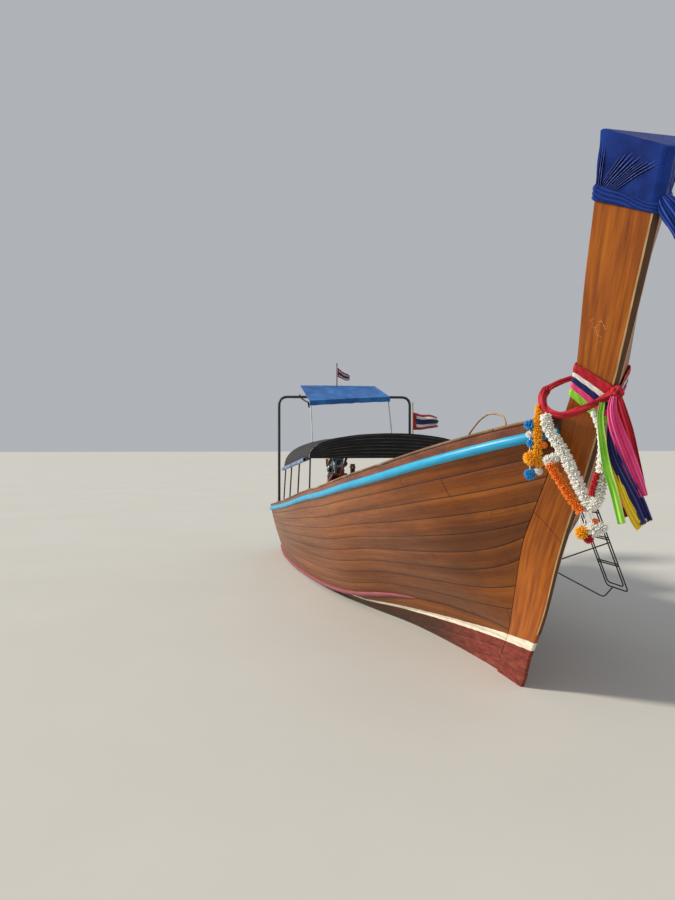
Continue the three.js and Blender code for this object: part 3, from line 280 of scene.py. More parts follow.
# stem: nose s, z, half width | after corner s, z, half width
STEM = np.array([
    [-900, -345, 25, -930, -235, 34],
    [-550, -280, 22, -660, -150, 34],
    [-300, -200, 20, -480, -60, 35],
    [0, 0, 18, -340, 190, 38],
    [147, 300, 18, -163, 461, 50],
    [382, 686, 18, 54, 856, 100],
    [589, 1155, 18, 323, 1293, 170],
    [752, 1474, 20, 557, 1575, 200],
    [965, 1820, 22, 820, 1910, 214],
    [1133, 2150, 22, 975, 2215, 210],
    [1192, 2270, 22, 1024, 2333, 205],
    [1347, 2540, 22, 1160, 2620, 202],
    [1588, 3130, 28, 1305, 3212, 224],
    [1758, 3570, 29, 1476, 3680, 262],
    [1878, 3900, 30, 1600, 4106, 287],
]) / 1000
SIDES = (("stbd", 1), ("port", -1))


def spline(table, at):
    """A smooth line through a table's rows at fractional row numbers, by Catmull and Rom's
    cubic: each row is passed, parallel to the line between its neighbours."""
    ends = np.vstack([2 * table[0] - table[1], table, 2 * table[-1] - table[-2]])
    at = np.clip(np.asarray(at, float), 0, len(table) - 1)
    i = np.minimum(at.astype(int), len(table) - 2)
    u = (at - i)[..., None]
    a, b, c, d = (ends[i + k] for k in range(4))
    cubic = (-a + 3 * b - 3 * c + d) * u**3 + (2 * a - 5 * b + 4 * c - d) * u**2
    return 0.5 * (cubic + (c - a) * u) + b


def plain_hull(t, v):
    """The section at t, straight from keel (v 0) to chine (v 2) and rail (v 7) but for a
    parabola's swell on each, and a little outward from there to the sheer (v 8)."""
    row = spline(STATIONS, t * (len(STATIONS) - 1))
    keel = np.stack([row[..., 0], 0 * row[..., 0], row[..., 1]], -1)
    chine, swell, rail, high = row[..., 2:5], row[..., 5], row[..., 6:9], row[..., 9]
    bottom, side, top = np.clip(v / 2, 0, 1), np.clip((v - 2) / 5, 0, 1), np.clip(v - 7, 0, 1)
    point = keel + (chine - keel) * bottom[..., None] + (rail - chine) * side[..., None]
    full = np.clip((chine[..., 1] - 0.1) / 0.6, 0, 1)
    full = full * full * (3 - 2 * full)
    point[..., 0] += 0.3 * high * t * top
    point[..., 1] += swell * 4 * side * (1 - side) + 0.12 * high * top
    point[..., 2] += high * top - BOTTOM_SWELL * full * 4 * bottom * (1 - bottom)
    return point


def hull(t, v):
    """Points of the hull's outside as s, p, z: the plain section, drawn to the stem's after
    corners by the square of its share of the last fifth."""
    t, v = np.broadcast_arrays(np.asarray(t, float), np.asarray(v, float))
    corner = spline(STEM, v + 2)[..., [3, 5, 4]]
    corner[..., 1] *= np.clip(v, 0, 1)
    ease = np.clip((t - BLEND_START) / (1 - BLEND_START), 0, 1)[..., None] ** 2
    return plain_hull(t, v) + ease * (corner - plain_hull(np.ones_like(t), v))


def unit(vectors):
    """Vectors of length one, each its own vector divided by its length."""
    return vectors / np.linalg.norm(vectors, axis=-1, keepdims=True)


def outward(points):
    """Unit normals of a grid of s, p, z points, from the steps along it and across it."""
    normal = unit(np.cross(np.gradient(points, axis=1), np.gradient(points, axis=0)))
    return normal * np.where(normal[..., 1:2] - 0.2 * normal[..., 2:3] < 0, -1, 1)


def ship(points, sign=1):
    """Boat places (s forward, p outward, z up) in the row frame."""
    return np.stack([points[..., 0] + STEM_X, -sign * points[..., 1], points[..., 2]], -1)


def shell(outer, inner):
    """A closed body between two grids of like shape."""
    return skin(np.concatenate([outer, inner[:, ::-1]], 1), wrap=True, capped=True)


def planked(name, low, high, count, sign, material, nodes_for):
    """Boards between two rows: each is flat but for a groove at its edges."""
    across = np.array([0, 0.02, 0.045, 0.3, 0.5, 0.7, 0.955, 0.98])
    board, share = np.repeat(np.arange(count), 8), np.tile(across, count)
    v = low + (high - low) * np.append(board + share, count) / count
    seam = np.append(np.interp(share, [0, 0.02, 0.045, 0.955, 0.98, 1], [1, 0.6, 0, 0, 0.6, 1]), 1)
    t = np.linspace(0, STEM_END, 190)[:, None]
    face = hull(t, v[None, :])
    normal = outward(face)
    outer = face - normal * SEAM_DEPTH * seam[None, :, None]
    inner = face - normal * PLANK
    inner[..., 1] = np.maximum(inner[..., 1], CENTRE_GAP)
    ring_seam = np.concatenate([seam, seam[::-1] * 0.6])
    ring_board = np.concatenate([np.append(board, count - 1), np.append(board, count - 1)[::-1]])
    ring_side = np.concatenate([np.zeros(len(v)), np.ones(len(v))])
    tone = np.random.default_rng(5).permutation(count)[ring_board] / count
    marks = {"seam": ring_seam, "board": tone, "inside": ring_side}
    marks = {mark: np.broadcast_to(values, (len(t), len(values))) for mark, values in marks.items()}
    parts = [shell(ship(outer, sign), ship(inner, sign))]
    return piece(name, parts, material, stands_for=nodes_for, marks=marks, sharp=50)


def grain(look, tones, fine=1.0, along="x"):
    """Streaks drawn out along the board, from a coarse and a fine noise, as a colour."""
    length, width = 0.4 * fine, 11.0 * fine
    scales = {"x": (length, width, width), "y": (width, length, width), "z": (width, width, length),
              "uv": (length, width, 1.0)}
    source = look.cloth if along == "uv" else look.place
    pores = look.noise(look.stretch(source, tuple(8 * k for k in scales[along])), 1.0, 2.0, 0.5)
    streak = look.noise(look.stretch(source, scales[along]), 1.0, 4.0, 0.5)
    streak = look.plus(look.times(streak, 0.7), look.times(pores, 0.3))
    stops = [(0.3, tones[0]), (0.5, tones[1]), (0.7, tones[2])]
    return streak, look.ramp(streak, stops)


def painted_bands(look, colour, roughness):
    """Red-brown bottom paint under a cream line that rises and widens to the stem, laid over
    a colour; gives the colour and the roughness."""
    x, z = look.axis(look.place, "X"), look.axis(look.place, "Z")
    ragged = look.calc("MULTIPLY_ADD", look.noise(look.place, 9.0), 0.012, -0.006)
    level = look.plus(z, ragged)
    middle = look.between(x, 1.2, 4.35, 0.132, 0.408)
    half = look.between(x, 1.2, 4.35, 0.011, 0.039)
    over = look.minus(level, middle)
    below = look.between(over, 0.0, -0.002)
    line = look.calc("LESS_THAN", look.calc("ABSOLUTE", over), half)
    line = look.times(line, look.calc("GREATER_THAN", x, 0.55))
    worn = look.noise(look.stretch(look.place, (2.0, 6.0, 9.0)), 4.0, 6.0, 0.7)
    bottom = look.ramp(worn, [(0.3, "4d1c17"), (0.5, "7a2e22"), (0.72, "95503c")])
    stained = look.ramp(worn, [(0.3, "33190f"), (0.7, "55301c")])
    bottom = look.mix(look.between(x, 3.4, 2.5), bottom, stained)
    cream = look.mix(look.between(worn, 0.35, 0.6), "cfc4ae", "efe6d2")
    colour = look.mix(below, colour, bottom)
    return look.mix(line, colour, cream), look.calc("MAXIMUM", roughness, look.times(below, 0.62))


def board_look(name, tones, gloss, bands=False):
    """Varnished boards: grain, a tone for each board, dark seams and staggered butts, sun
    bleaching aft, runs of water down the side, and the bottom's paint."""
    look = Look(name, roughness=gloss, coat_weight=0.08, coat_roughness=0.25, specular_ior_level=0.3)
    streak, colour = grain(look, tones, along="uv")
    tone = look.mark("board")
    colour = look.shaded(colour, tone, 0.82, 1.16)
    x, z = look.axis(look.place, "X"), look.axis(look.place, "Z")
    blotch = look.noise(look.stretch(look.place, (0.5, 1.0, 1.2)), 1.6, 5.0, 0.6)
    bleach = look.times(look.between(x, 2.6, -3.8), look.between(blotch, 0.24, 0.6), clamp=True)
    colour = look.mix(look.times(bleach, 0.58), colour, "5c4b36")
    dark = look.times(look.between(x, 1.5, 4.6), look.between(blotch, 0.62, 0.4), clamp=True)
    colour = look.mix(look.times(dark, 0.55), colour, "3a2010")
    runs = look.noise(look.stretch(look.place, (7.0, 7.0, 0.5)), 3.0, 4.0, 0.6)
    colour = look.mix(look.between(runs, 0.56, 0.78, 0.0, 0.3), colour, "3c2412")
    board_end = look.plus(look.calc("DIVIDE", x, BUTTS["every"]), look.times(tone, BUTTS["stagger"]))
    butt = look.calc("LESS_THAN", look.calc("FRACT", board_end), BUTTS["gap"])
    gap = look.calc("MAXIMUM", butt, look.between(look.mark("seam"), 0.25, 0.9))
    colour = look.mix(gap, colour, "231006")
    rough = look.between(streak, 0.3, 0.7, gloss + 0.1, gloss - 0.05)
    if bands:
        colour, rough = painted_bands(look, colour, rough)
    colour = look.mix(look.times(look.mark("inside"), 0.75), colour, "3d2616")
    normal = look.bump(look.minus(streak, gap), 0.0015, 0.6)
    return look.finish(colour, rough, normal)


VARNISH = ("683008", "88480e", "a25c18")
side_look = board_look("varnished_planks", VARNISH, 0.42)
bottom_look = board_look("bottom_paint", VARNISH, 0.42, bands=True)
for side, sign in SIDES:
    planked(f"side_boards_{side}", 2.0, 7.0, BOARDS["side"], sign, side_look,
            [f"side_planking_{side}"])
    planked(f"bottom_boards_{side}", 0.0, 2.0, BOARDS["bottom"], sign, bottom_look,
            [f"bottom_planking_{side}"])

# The keel is a square timber under the bottom boards, painted with them. The transom is
# built of wide level boards, varnished and greyed by the exhaust.
TRANSOM_BOARD = 0.165


def plain_wood(name, tones, roughness, depth, along="x"):
    """Wood with nothing but its grain, as a colour and as a relief of a depth."""
    look = Look(name, roughness=roughness)
    streak, colour = grain(look, tones, along=along)
    return look.finish(colour, None, look.bump(streak, depth))


def laid_boards(name, tones, width, axis, gloss, wear="b09070", along="x"):
    """Boards side by side across an axis, with dark seams, and worn pale in patches."""
    look = Look(name, roughness=gloss)
    streak, colour = grain(look, tones, along=along)
    row = look.calc("DIVIDE", look.axis(look.place, axis), width)
    number = look.calc("FLOOR", row)
    pick = look.add("TexWhiteNoise", {"W": number}, noise_dimensions="1D").outputs["Value"]
    colour = look.shaded(colour, pick, 0.7, 1.2)
    patch = look.noise(look.stretch(look.place, (1.0, 1.6, 1.6)), 2.2, 5.0, 0.65)
    colour = look.mix(look.between(patch, 0.52, 0.75, 0, 0.6), colour, wear)
    edge = look.off(look.calc("FRACT", row), 0.5)
    gap = look.between(edge, 0.5 - 0.004 / width, 0.5 - 0.002 / width)
    colour = look.mix(gap, colour, "150c06")
    return look.finish(colour, look.between(patch, 0.3, 0.7, gloss, gloss + 0.25),
                       look.bump(look.minus(streak, gap), 0.002, 0.6))


def dress(material, *names):
    """Gives CAD nodes a material."""
    for name in names:
        for held in nodes[name].material_slots:
            held.material = material


dress(plain_wood("keel_paint", ("4a1c16", "74291f", "86453a"), 0.7, 0.002), "keel")
dress(laid_boards("transom_boards", ("4a2409", "7c4013", "9a6230"), TRANSOM_BOARD, "Z", 0.5,
                  "84735f", "y"), "transom")

# The stem and the prow post are one tall timber with a scarf joint above the sheer, wide
# at its after edge and narrow ahead, oiled, with a bare chamfer down its front edges.
POST_CHAMFER = 0.007
POST_ROUND = 0.008
SCARF = {"from": (4.781, 1.591), "to": (4.885, 1.343)}
SCRAPE = {"x": 5.555, "z": 2.9, "half": 0.12}


def post_ring(at, corner_at=None, grow=0.0, chamfer=POST_CHAMFER, rounding=POST_ROUND):
    """Rings round the post at fractional rows of the stem's table: an eight-sided section
    from the after corners, eased by a rounding, to the front edge and its chamfers."""
    nose = spline(STEM, at)[:, :3]
    corner = spline(STEM, at if corner_at is None else corner_at)[:, 3:]
    depth = nose[:, :2] - corner[:, :2]
    ahead = unit(depth)
    start = corner[:, :2] - ahead * grow
    length = np.linalg.norm(depth, axis=1) + 2 * grow
    wide, narrow = corner[:, 2] + 1.6 * grow, nose[:, 2] + grow
    slope = (wide - narrow) / length
    steps = [(0, wide - rounding), (rounding, wide), (length * 0.5, wide - slope * length * 0.5),
             (length - chamfer, narrow + slope * chamfer), (length, narrow - 0.62 * chamfer)]
    half = [np.stack([start[:, 0] + ahead[:, 0] * d, np.broadcast_to(w, length.shape),
                      start[:, 1] + ahead[:, 1] * d], -1) for d, w in steps]
    other = [point * (1, -1, 1) for point in half[::-1]]
    return ship(np.stack(half + other, 1))


def post_look():
    """Oiled hardwood: long streaks up the post, darker runs, fine scratches, the scarf."""
    look = Look("post_wood", roughness=0.45, coat_weight=0.05, specular_ior_level=0.3)
    streak = look.noise(look.stretch(look.cloth, (0.9, 17, 1)), 2.0, 5.0, 0.6)
    colour = look.ramp(streak, [(0.3, "7a3806"), (0.5, "a0540c"), (0.7, "b96a16")])
    broad = look.noise(look.stretch(look.cloth, (0.5, 5, 1)), 2.0, 3.0)
    colour = look.mix(look.between(broad, 0.42, 0.7, 0, 0.55), colour, "7a3b12")
    scratch = look.noise(look.stretch(look.cloth, (6, 90, 1)), 3.0, 3.0, 0.7)
    colour = look.mix(look.between(scratch, 0.72, 0.8, 0, 0.6), colour, "d8ab6c")
    x, z = look.axis(look.place, "X"), look.axis(look.place, "Z")
    wander = look.noise(look.stretch(look.place, (1, 1, 0.5)), 17.0, 3.0)
    scraped = look.between(look.off(wander, 0.52), 0.012, 0.004)
    near = look.between(look.off(z, SCRAPE["z"]), SCRAPE["half"], 0.02)
    lengthwise = look.off(x, SCRAPE["x"])
    near = look.times(near, look.between(lengthwise, 0.06, 0.03))
    colour = look.mix(look.times(look.times(scraped, near), 0.8), colour, "dfae72")
    (x0, z0), (x1, z1) = SCARF["from"], SCARF["to"]
    size = math.hypot(x1 - x0, z1 - z0)
    away = look.plus(look.times(look.minus(x, x0), (z1 - z0) / size),
                     look.times(look.minus(z, z0), (x0 - x1) / size))
    joint = look.calc("LESS_THAN", look.calc("ABSOLUTE", away), 0.0022)
    within = look.times(look.calc("GREATER_THAN", z, z1 - 0.01), look.calc("LESS_THAN", z, z0 + 0.01))
    joint = look.times(joint, within)
    colour = look.mix(joint, colour, "2a1408")
    colour, rough = painted_bands(look, colour, look.between(streak, 0.3, 0.7, 0.5, 0.34))
    return look.finish(colour, rough, look.bump(look.minus(streak, joint), 0.0012, 0.5))


post_rows = np.linspace(0, len(STEM) - 1, 113)
post = piece("prow_post", [skin(post_ring(post_rows), wrap=True, capped=True)], post_look(),
             stands_for=["stem_post"], sharp=25)
# The narrow front face across the nose takes a darker copy of the post's wood as painted shade; the chamfers
# beside it are pale bare wood.
EDGE_TONES = {"post_chamfer": (3, "9a7443", "d2ae78"), "post_front_painted_shade": (1.5, "371d0a", "5e3816")}
for name, (length, dark, light) in EDGE_TONES.items():
    look = Look(name, roughness=0.6)
    streak = look.noise(look.stretch(look.cloth, (length, 60, 1)), 3.0, 5.0)
    post.data.materials.append(look.finish(look.ramp(streak, [(0.3, dark), (0.6, light)])))
RING = {"sides": 10, "chamfers": (3, 5), "front": 4, "last painted": 36}
face_ring, face_column = np.divmod(np.arange(len(post.data.polygons)), RING["sides"])
face_look = np.where(np.isin(face_column, RING["chamfers"]), 1, 2 * (face_column == RING["front"]))
face_look[face_ring <= RING["last painted"]] = 0
face_look[-2:] = 0
post.data.polygons.foreach_set("material_index", face_look)

# A half-round rub rail of sky-blue painted wood runs under the washboard, and a slimmer
# red one along the chine as far as the turn of the bow; both are nailed on.
RAIL = {"row": 7.0, "radius": 0.04, "out": 0.003, "from": 0.0, "to": STEM_END}
STRAKE = {"row": 2.0, "radius": 0.03, "out": 0.003, "from": 0.0, "to": 0.607}


def outboard(line):
    """Level directions square to a line of s, p, z points, away from the middle plane."""
    along = np.gradient(line, axis=0)
    level = np.stack([along[:, 1], -along[:, 0], 0 * along[:, 0]], -1)
    return unit(level) * np.where(level[:, 1:2] < 0, -1, 1)


def wheel(turn, side, up):
    """Directions at angles about each point of a line, from two that are square to it."""
    return np.cos(turn)[..., None] * side[:, None] + np.sin(turn)[..., None] * up[:, None]


def half_round(rail, sign, blunt=0.0, sides=12):
    """Half circles carried along a row of the hull, flat on their back; blunt is the share of
    the length over which the fore end tapers."""
    t = np.linspace(rail["from"], rail["to"], 150)
    line = hull(t, rail["row"])
    out = outboard(line)
    up = unit(np.cross(out, np.gradient(line, axis=0)))
    up *= np.where(up[:, 2:] < 0, -1, 1)
    share = (rail["to"] - t) / (rail["to"] - rail["from"])
    size = rail["radius"] * (np.sqrt(np.clip(share / blunt, 0.02, 1)) if blunt else np.ones(len(t)))
    turn = np.radians(np.linspace(-100, 100, sides))
    ring = line[:, None] + out[:, None] * rail["out"] + size[:, None, None] * wheel(turn, out, up)
    return skin(ship(ring, sign), wrap=True, capped=True)


def painted_wood(name, tones, bare, gloss, chips=0.62, scale=1.0):
    """Brushed gloss paint with darker weathering, dirty runs and chips down to bare wood."""
    look = Look(name, roughness=gloss)
    stroke = look.noise(look.stretch(look.cloth, (2.0 * scale, 30.0 * scale, 1.0)), 3.0, 4.0)
    colour = look.ramp(stroke, [(0.3, tones[0]), (0.65, tones[1])])
    dirt = look.noise(look.place, 2.6, 6.0, 0.7)
    colour = look.mix(look.between(dirt, 0.55, 0.75, 0, 0.45), colour, tones[2])
    flake = look.noise(look.stretch(look.place, (7, 16, 16)), 2.0, 7.0, 0.75)
    chip = look.between(flake, chips, chips + 0.02)
    colour = look.mix(chip, colour, bare)
    dull = look.between(dirt, 0.3, 0.7, gloss - 0.08, gloss + 0.2)
    rough = look.plus(dull, look.times(chip, 0.3))
    height = look.minus(look.times(stroke, 0.3), chip)
    return look.finish(colour, rough, look.bump(height, 0.0012, 0.7))


rail_look = painted_wood("rail_paint", ("149acb", "2db2de", "156f9c"), "5b4a3c", 0.35, 0.69)
strake_look = painted_wood("strake_paint", ("7a3038", "9c5058", "5c262c"), "4a2a20", 0.45, 0.66)
for side, sign in SIDES:
    piece(f"rub_rail_paint_{side}", [half_round(RAIL, sign)], rail_look,
          stands_for=[f"rub_rail_{side}"])
    piece(f"chine_rail_paint_{side}", [half_round(STRAKE, sign, 0.16)], strake_look,
          stands_for=[f"chine_strake_{side}"])

# Above the rail a single reddish-brown washboard raises the side, closed by a paler cap
# strip that overhangs both faces and is scuffed where feet and ropes cross it.
CAP = {"out": 0.01, "width": 0.095, "thickness": 0.021, "round": 0.007}
look = Look("washboard_wood", roughness=0.45, coat_weight=0.2, coat_roughness=0.3)
streak, colour = grain(look, ("4e2412", "7a3e20", "945534"))
dark = look.noise(look.place, 2.0, 5.0, 0.65)
colour = look.mix(look.between(dark, 0.5, 0.75, 0, 0.6), colour, "3a1d0e")
washboard_material = look.finish(colour, None, look.bump(streak, 0.001))
cap_look = laid_boards("cap_wood", ("5e4028", "8a6440", "ab8558"), 2.4, "X", 0.6, "d9c6a4")


def cap_strip(sign):
    """A flat strip with rounded edges carried along the sheer, square to it in plan."""
    t = np.linspace(0, STEM_END, 170)
    line = hull(t, 8.0)
    width, high, r = CAP["width"], CAP["thickness"], CAP["round"]
    turn = np.radians(np.arange(0, 91, 30))
    corners = [(width - r, high - r, 0), (r, high - r, 90), (r, r, 180), (width - r, r, 270)]
    across = np.concatenate([x + r * np.cos(turn + math.radians(a)) for x, _, a in corners])
    rise = np.concatenate([z + r * np.sin(turn + math.radians(a)) for _, z, a in corners])
    ring = line[:, None] + outboard(line)[:, None] * (CAP["out"] - across)[None, :, None]
    ring = ring + np.array([0, 0, 1.0]) * (rise - 0.001)[None, :, None]
    ring[..., 1] = np.maximum(ring[..., 1], CENTRE_GAP)
    return skin(ship(ring, sign), wrap=True, capped=True)


for side, sign in SIDES:
    planked(f"washboard_wood_{side}", 7.0, 8.0, 1, sign, washboard_material,
            [f"washboard_{side}"])
    piece(f"cap_strip_{side}", [cap_strip(sign)], cap_look)

# Inside, sawn ribs and a clamp under the sheer carry removable floor boards, thwarts on
# risers, and small decks at both ends; all of it is dull wood, darkest in the bilge.
dress(laid_boards("inner_wood", ("2e1a0d", "553318", "6d4a2b"), 0.7, "X", 0.7, "7c6248", "z"),
      "frames_aft_stbd", "frames_aft_port", "frames_fore_stbd", "frames_fore_port")
dress(laid_boards("floor_wood", ("332012", "5c3d22", "7d5d3d"), 0.145, "Y", 0.75, "8f7a60"),
      "floor_boards")
dress(laid_boards("deck_wood", ("3d220f", "70431f", "8e6238"), 0.12, "Y", 0.65, "9c8468"),
      "aft_deck", "foredeck")
dress(laid_boards("bench_wood", ("5a2c0e", "8c501d", "a9713a"), 0.35, "X", 0.5, "b99b74", "y"),
      "benches")
dress(laid_boards("post_timber", ("2e1a0d", "5a3418", "74502f"), 0.09, "Z", 0.65, "7a6450", "y"),
      "motor_post", "cleat_stbd", "cleat_port")

# The canopy stands on painted steel posts whose plates are screwed to the caps; an eave
# rail, four hoops and three lengthwise tubes are welded to them.
ROOF = {"aft": -6.6, "fore": -4.0, "half": 1.2, "aft eave": 1.71, "fore eave": 1.94,
        "aft rise": 0.54, "fore rise": 0.34, "lap": 0.04, "gable": 0.02}
HOOPS = np.array([-6.6, -5.85, -5.0, -4.0])
ROOF_TUBE = 0.0138
ROOF_POST = 0.0118
LENGTHWISE = (0.2, 0.5, 0.8)
POST_INBOARD = 0.04
ANY_WAY = np.array([0.31, 0.52, 0.79])


def square_to(path):
    """A path's directions, and two more that are square to them and to each other."""
    tangent = unit(np.gradient(path, axis=0))
    side = unit(np.cross(tangent, ANY_WAY))
    return tangent, side, np.cross(side, tangent)


def round_turn(steps):
    """Angles once round, evenly spaced."""
    return np.linspace(0, 2 * math.pi, steps, endpoint=False)


def tube(path, radius, sides=12):
    """Circles of a radius round a path, each square to the path and closed at both ends."""
    path = np.asarray(path, float)
    size = np.broadcast_to(radius, len(path))[:, None, None]
    circles = wheel(round_turn(sides), *square_to(path)[1:])
    return skin(path[:, None] + size * circles, wrap=True, capped=True)


def bend(points, radius, steps=6):
    """A path with each inner corner rounded by a parabola that starts a radius from it."""
    points = np.asarray(points, float)
    corner = points[1:-1]
    start = corner + unit(points[:-2] - corner) * radius
    end = corner + unit(points[2:] - corner) * radius
    u = np.linspace(0, 1, steps)[None, :, None]
    arcs = start[:, None] * (1 - u) ** 2 + corner[:, None] * 2 * u * (1 - u) + end[:, None] * u**2
    return np.concatenate([points[:1], arcs.reshape(-1, 3), points[-1:]])


def box(low, high, edge=0.003):
    """A block with every edge bevelled: its six faces, each held in from the others."""
    low, high = np.asarray(low, float), np.asarray(high, float)
    x, y = np.array([low[0] + edge, high[0] - edge]), np.array([low[1] + edge, high[1] - edge])
    plan = lambda grow: np.array([[x[0] - grow, y[0]], [x[0], y[0] - grow], [x[1], y[0] - grow],
                                  [x[1] + grow, y[0]], [x[1] + grow, y[1]], [x[1], y[1] + grow],
                                  [x[0], y[1] + grow], [x[0] - grow, y[1]]])
    small = 0.3 * edge
    rings = [np.column_stack([plan(grow), np.full(8, z)]) for grow, z in
             ((small, low[2]), (edge, low[2] + edge), (edge, high[2] - edge), (small, high[2]))]
    return skin(np.stack(rings), wrap=True, capped=True)


def screwed_plate(foot, size, apart, high, radius, sunk=0.001):
    """A plate under a post, by its half length, half width and thickness, and the heads of the
    two screws that hold it."""
    x, y, z = size
    heads = [tube([foot + (dx, 0, z - sunk), foot + (dx, 0, z - sunk + high)], radius, 6)
             for dx in (-apart, apart)]
    return [box(foot - (x, y, 0), foot + size, 0.002), *heads]


def eave(s):
    """Height of the roof's edge, on a line from its after end to its fore one."""
    return np.interp(s, [ROOF["aft"], ROOF["fore"]], [ROOF["aft eave"], ROOF["fore eave"]])


def rise(s):
    """Height of the roof's crown over its edge, on a line in the same way."""
    return np.interp(s, [ROOF["aft"], ROOF["fore"]], [ROOF["aft rise"], ROOF["fore rise"]])


def roof(s, share, lift=0.0):
    """Places over the roof, from the starboard eave (share 0) to the port one: across as a
    cosine, up as the three-quarter power of a sine."""
    s, share = np.broadcast_arrays(np.asarray(s, float), np.asarray(share, float))
    turn = math.pi * share
    up = np.clip(np.sin(turn), 0, 1) ** 0.75
    return ship(np.stack([s, (ROOF["half"] + lift) * np.cos(turn), eave(s) + (rise(s) + lift) * up], -1))


def sheer(s):
    """Half breadth and height of the cap's top over a place s."""
    line = hull(np.linspace(0, 1, 300), 8.0)
    return np.interp(s, line[:, 0], line[:, 1]), np.interp(s, line[:, 0], line[:, 2]) + 0.02


def old_paint(name, tones, rust, gloss, metallic=0.0, amount=0.6):
    """Brushed paint on steel, dulled and rusting through in speckles."""
    look = Look(name, roughness=gloss, metallic=metallic)
    cloud = look.noise(look.place, 5.0, 5.0, 0.6)
    colour = look.ramp(cloud, [(0.3, tones[0]), (0.7, tones[1])])
    speck = look.noise(look.place, 38.0, 7.0, 0.72)
    spread = look.plus(look.times(speck, 0.6), look.times(cloud, 0.4))
    eaten = look.between(spread, amount, amount + 0.05)
    colour = look.mix(eaten, colour, rust)
    dull = look.between(cloud, 0.3, 0.7, gloss - 0.1, gloss + 0.1)
    rough = look.plus(look.times(eaten, 0.35), dull)
    return look.finish(colour, rough, look.bump(look.plus(speck, eaten), 0.0008, 0.5))


steel_look = old_paint("tube_paint", ("2c2e31", "4b4f54"), "5e3420", 0.5, 0.35, 0.56)
tube_ends = np.array([ROOF["aft"] - 0.015, ROOF["fore"] + 0.015])
for side, sign in SIDES:
    at_side = 0.0 if sign > 0 else 1.0
    parts = [tube(roof(tube_ends, at_side), ROOF_TUBE)]
    for s in HOOPS:
        p, z = sheer(s)
        foot = ship(np.array([s, p - POST_INBOARD, z - 0.001]), sign)
        parts.append(tube([foot, roof(s, at_side)], ROOF_POST))
        parts += screwed_plate(foot, (0.045, 0.032, 0.006), 0.03, 0.006, 0.0065)
    piece(f"canopy_posts_{side}", parts, steel_look, stands_for=[f"roof_posts_{side}"])
arc = np.linspace(0, 1, 41)
parts = [tube(roof(s, arc), ROOF_TUBE) for s in HOOPS]
parts += [tube(roof(tube_ends, share), ROOF_TUBE - 0.001) for share in LENGTHWISE]
piece("canopy_hoops", parts, steel_look, stands_for=["roof_frame"])

# Split cane laths are tied lengthwise on top of the hoops, a hand's breadth apart, and
# keep the canvas from sagging between them.
LATH = {"count": 17, "width": 0.02, "thick": 0.0045, "under": 0.0165}


def lath(share, wobble):
    """A flat strip along the roof, its section turned to lie on the arc."""
    s = np.linspace(ROOF["aft"] - 0.03, ROOF["fore"] + 0.01, 14)
    around = share + wobble * np.sin(s * 2.1 + 9 * share)
    lift = LATH["under"] - LATH["thick"]
    middle = roof(s, around, lift)
    across = unit(roof(s, around + 0.004, lift) - middle)
    up = unit(np.cross(across, np.gradient(middle, axis=0)))
    up *= np.sign(up[:, 2:])
    w, h = LATH["width"] / 2, LATH["thick"] / 2
    corners = [(-w, -h), (w, -h), (w * 0.8, h), (-w * 0.8, h)]
    return skin(np.stack([middle + across * a + up * b for a, b in corners], 1), wrap=True, capped=True)


lath_shares = np.linspace(0.05, 0.95, LATH["count"])
lath_wobble = np.random.default_rng(3).normal(0, 0.002, LATH["count"])
piece("canopy_laths", [lath(*pair) for pair in zip(lath_shares, lath_wobble)],
      plain_wood("lath_cane", ("2c2117", "56432e", "7d6748"), 0.6, 0.001))

# The canopy's cover is one sheet of dark coated canvas pulled over the laths and laced to
# the eave rails. It dips a little between the hoops and its after hem is piped in white.
CANVAS = {"lift": 0.0205, "dip": 0.011, "thick": 0.0022, "rows": 120, "columns": 110}
CLOTH = 0.0012


def cloth(name, tones, weave, gloss=0.85, fade="c8c8c8", fading=0.25, sheen=0.3, dirt=0.25):
    """Woven cloth: crossed threads at a size in metres, faded and dirty in soft patches."""
    look = Look(name, roughness=gloss, sheen_weight=sheen, sheen_roughness=0.5)
    warp, weft = look.axis(look.cloth, "X"), look.axis(look.cloth, "Y")
    weaving = look.times(*(look.calc("SINE", look.times(way, 2 * math.pi / weave)) for way in (warp, weft)))
    patch = look.noise(look.place, 3.5, 5.0, 0.6)
    fine = look.noise(look.stretch(look.cloth, (30, 30, 1)), 4.0, 4.0, 0.6)
    colour = look.ramp(look.plus(look.times(patch, 0.7), look.times(fine, 0.3)),
                       [(0.36, tones[0]), (0.62, tones[1])])
    colour = look.mix(look.between(weaving, -1, 1, 0, 0.1), colour, tones[0])
    colour = look.mix(look.between(patch, 0.5, 0.75, 0, fading), colour, fade)
    stain = look.noise(look.stretch(look.place, (1, 1, 0.6)), 6.0, 6.0, 0.7)
    colour = look.mix(look.between(stain, 0.56, 0.78, 0, dirt), colour, "3a3128")
    return look, look.finish(colour, look.between(patch, 0.3, 0.7, gloss - 0.08, gloss + 0.05),
                             look.bump(weaving, 0.0004, 0.5, look.bump(fine, 0.0015, 0.4)))


def thicken(made, thickness, offset=0.0):
    """A wall of even thickness on a sheet."""
    wall = made.modifiers.new("thickness", "SOLIDIFY")
    wall.thickness, wall.offset = thickness, offset
    return made


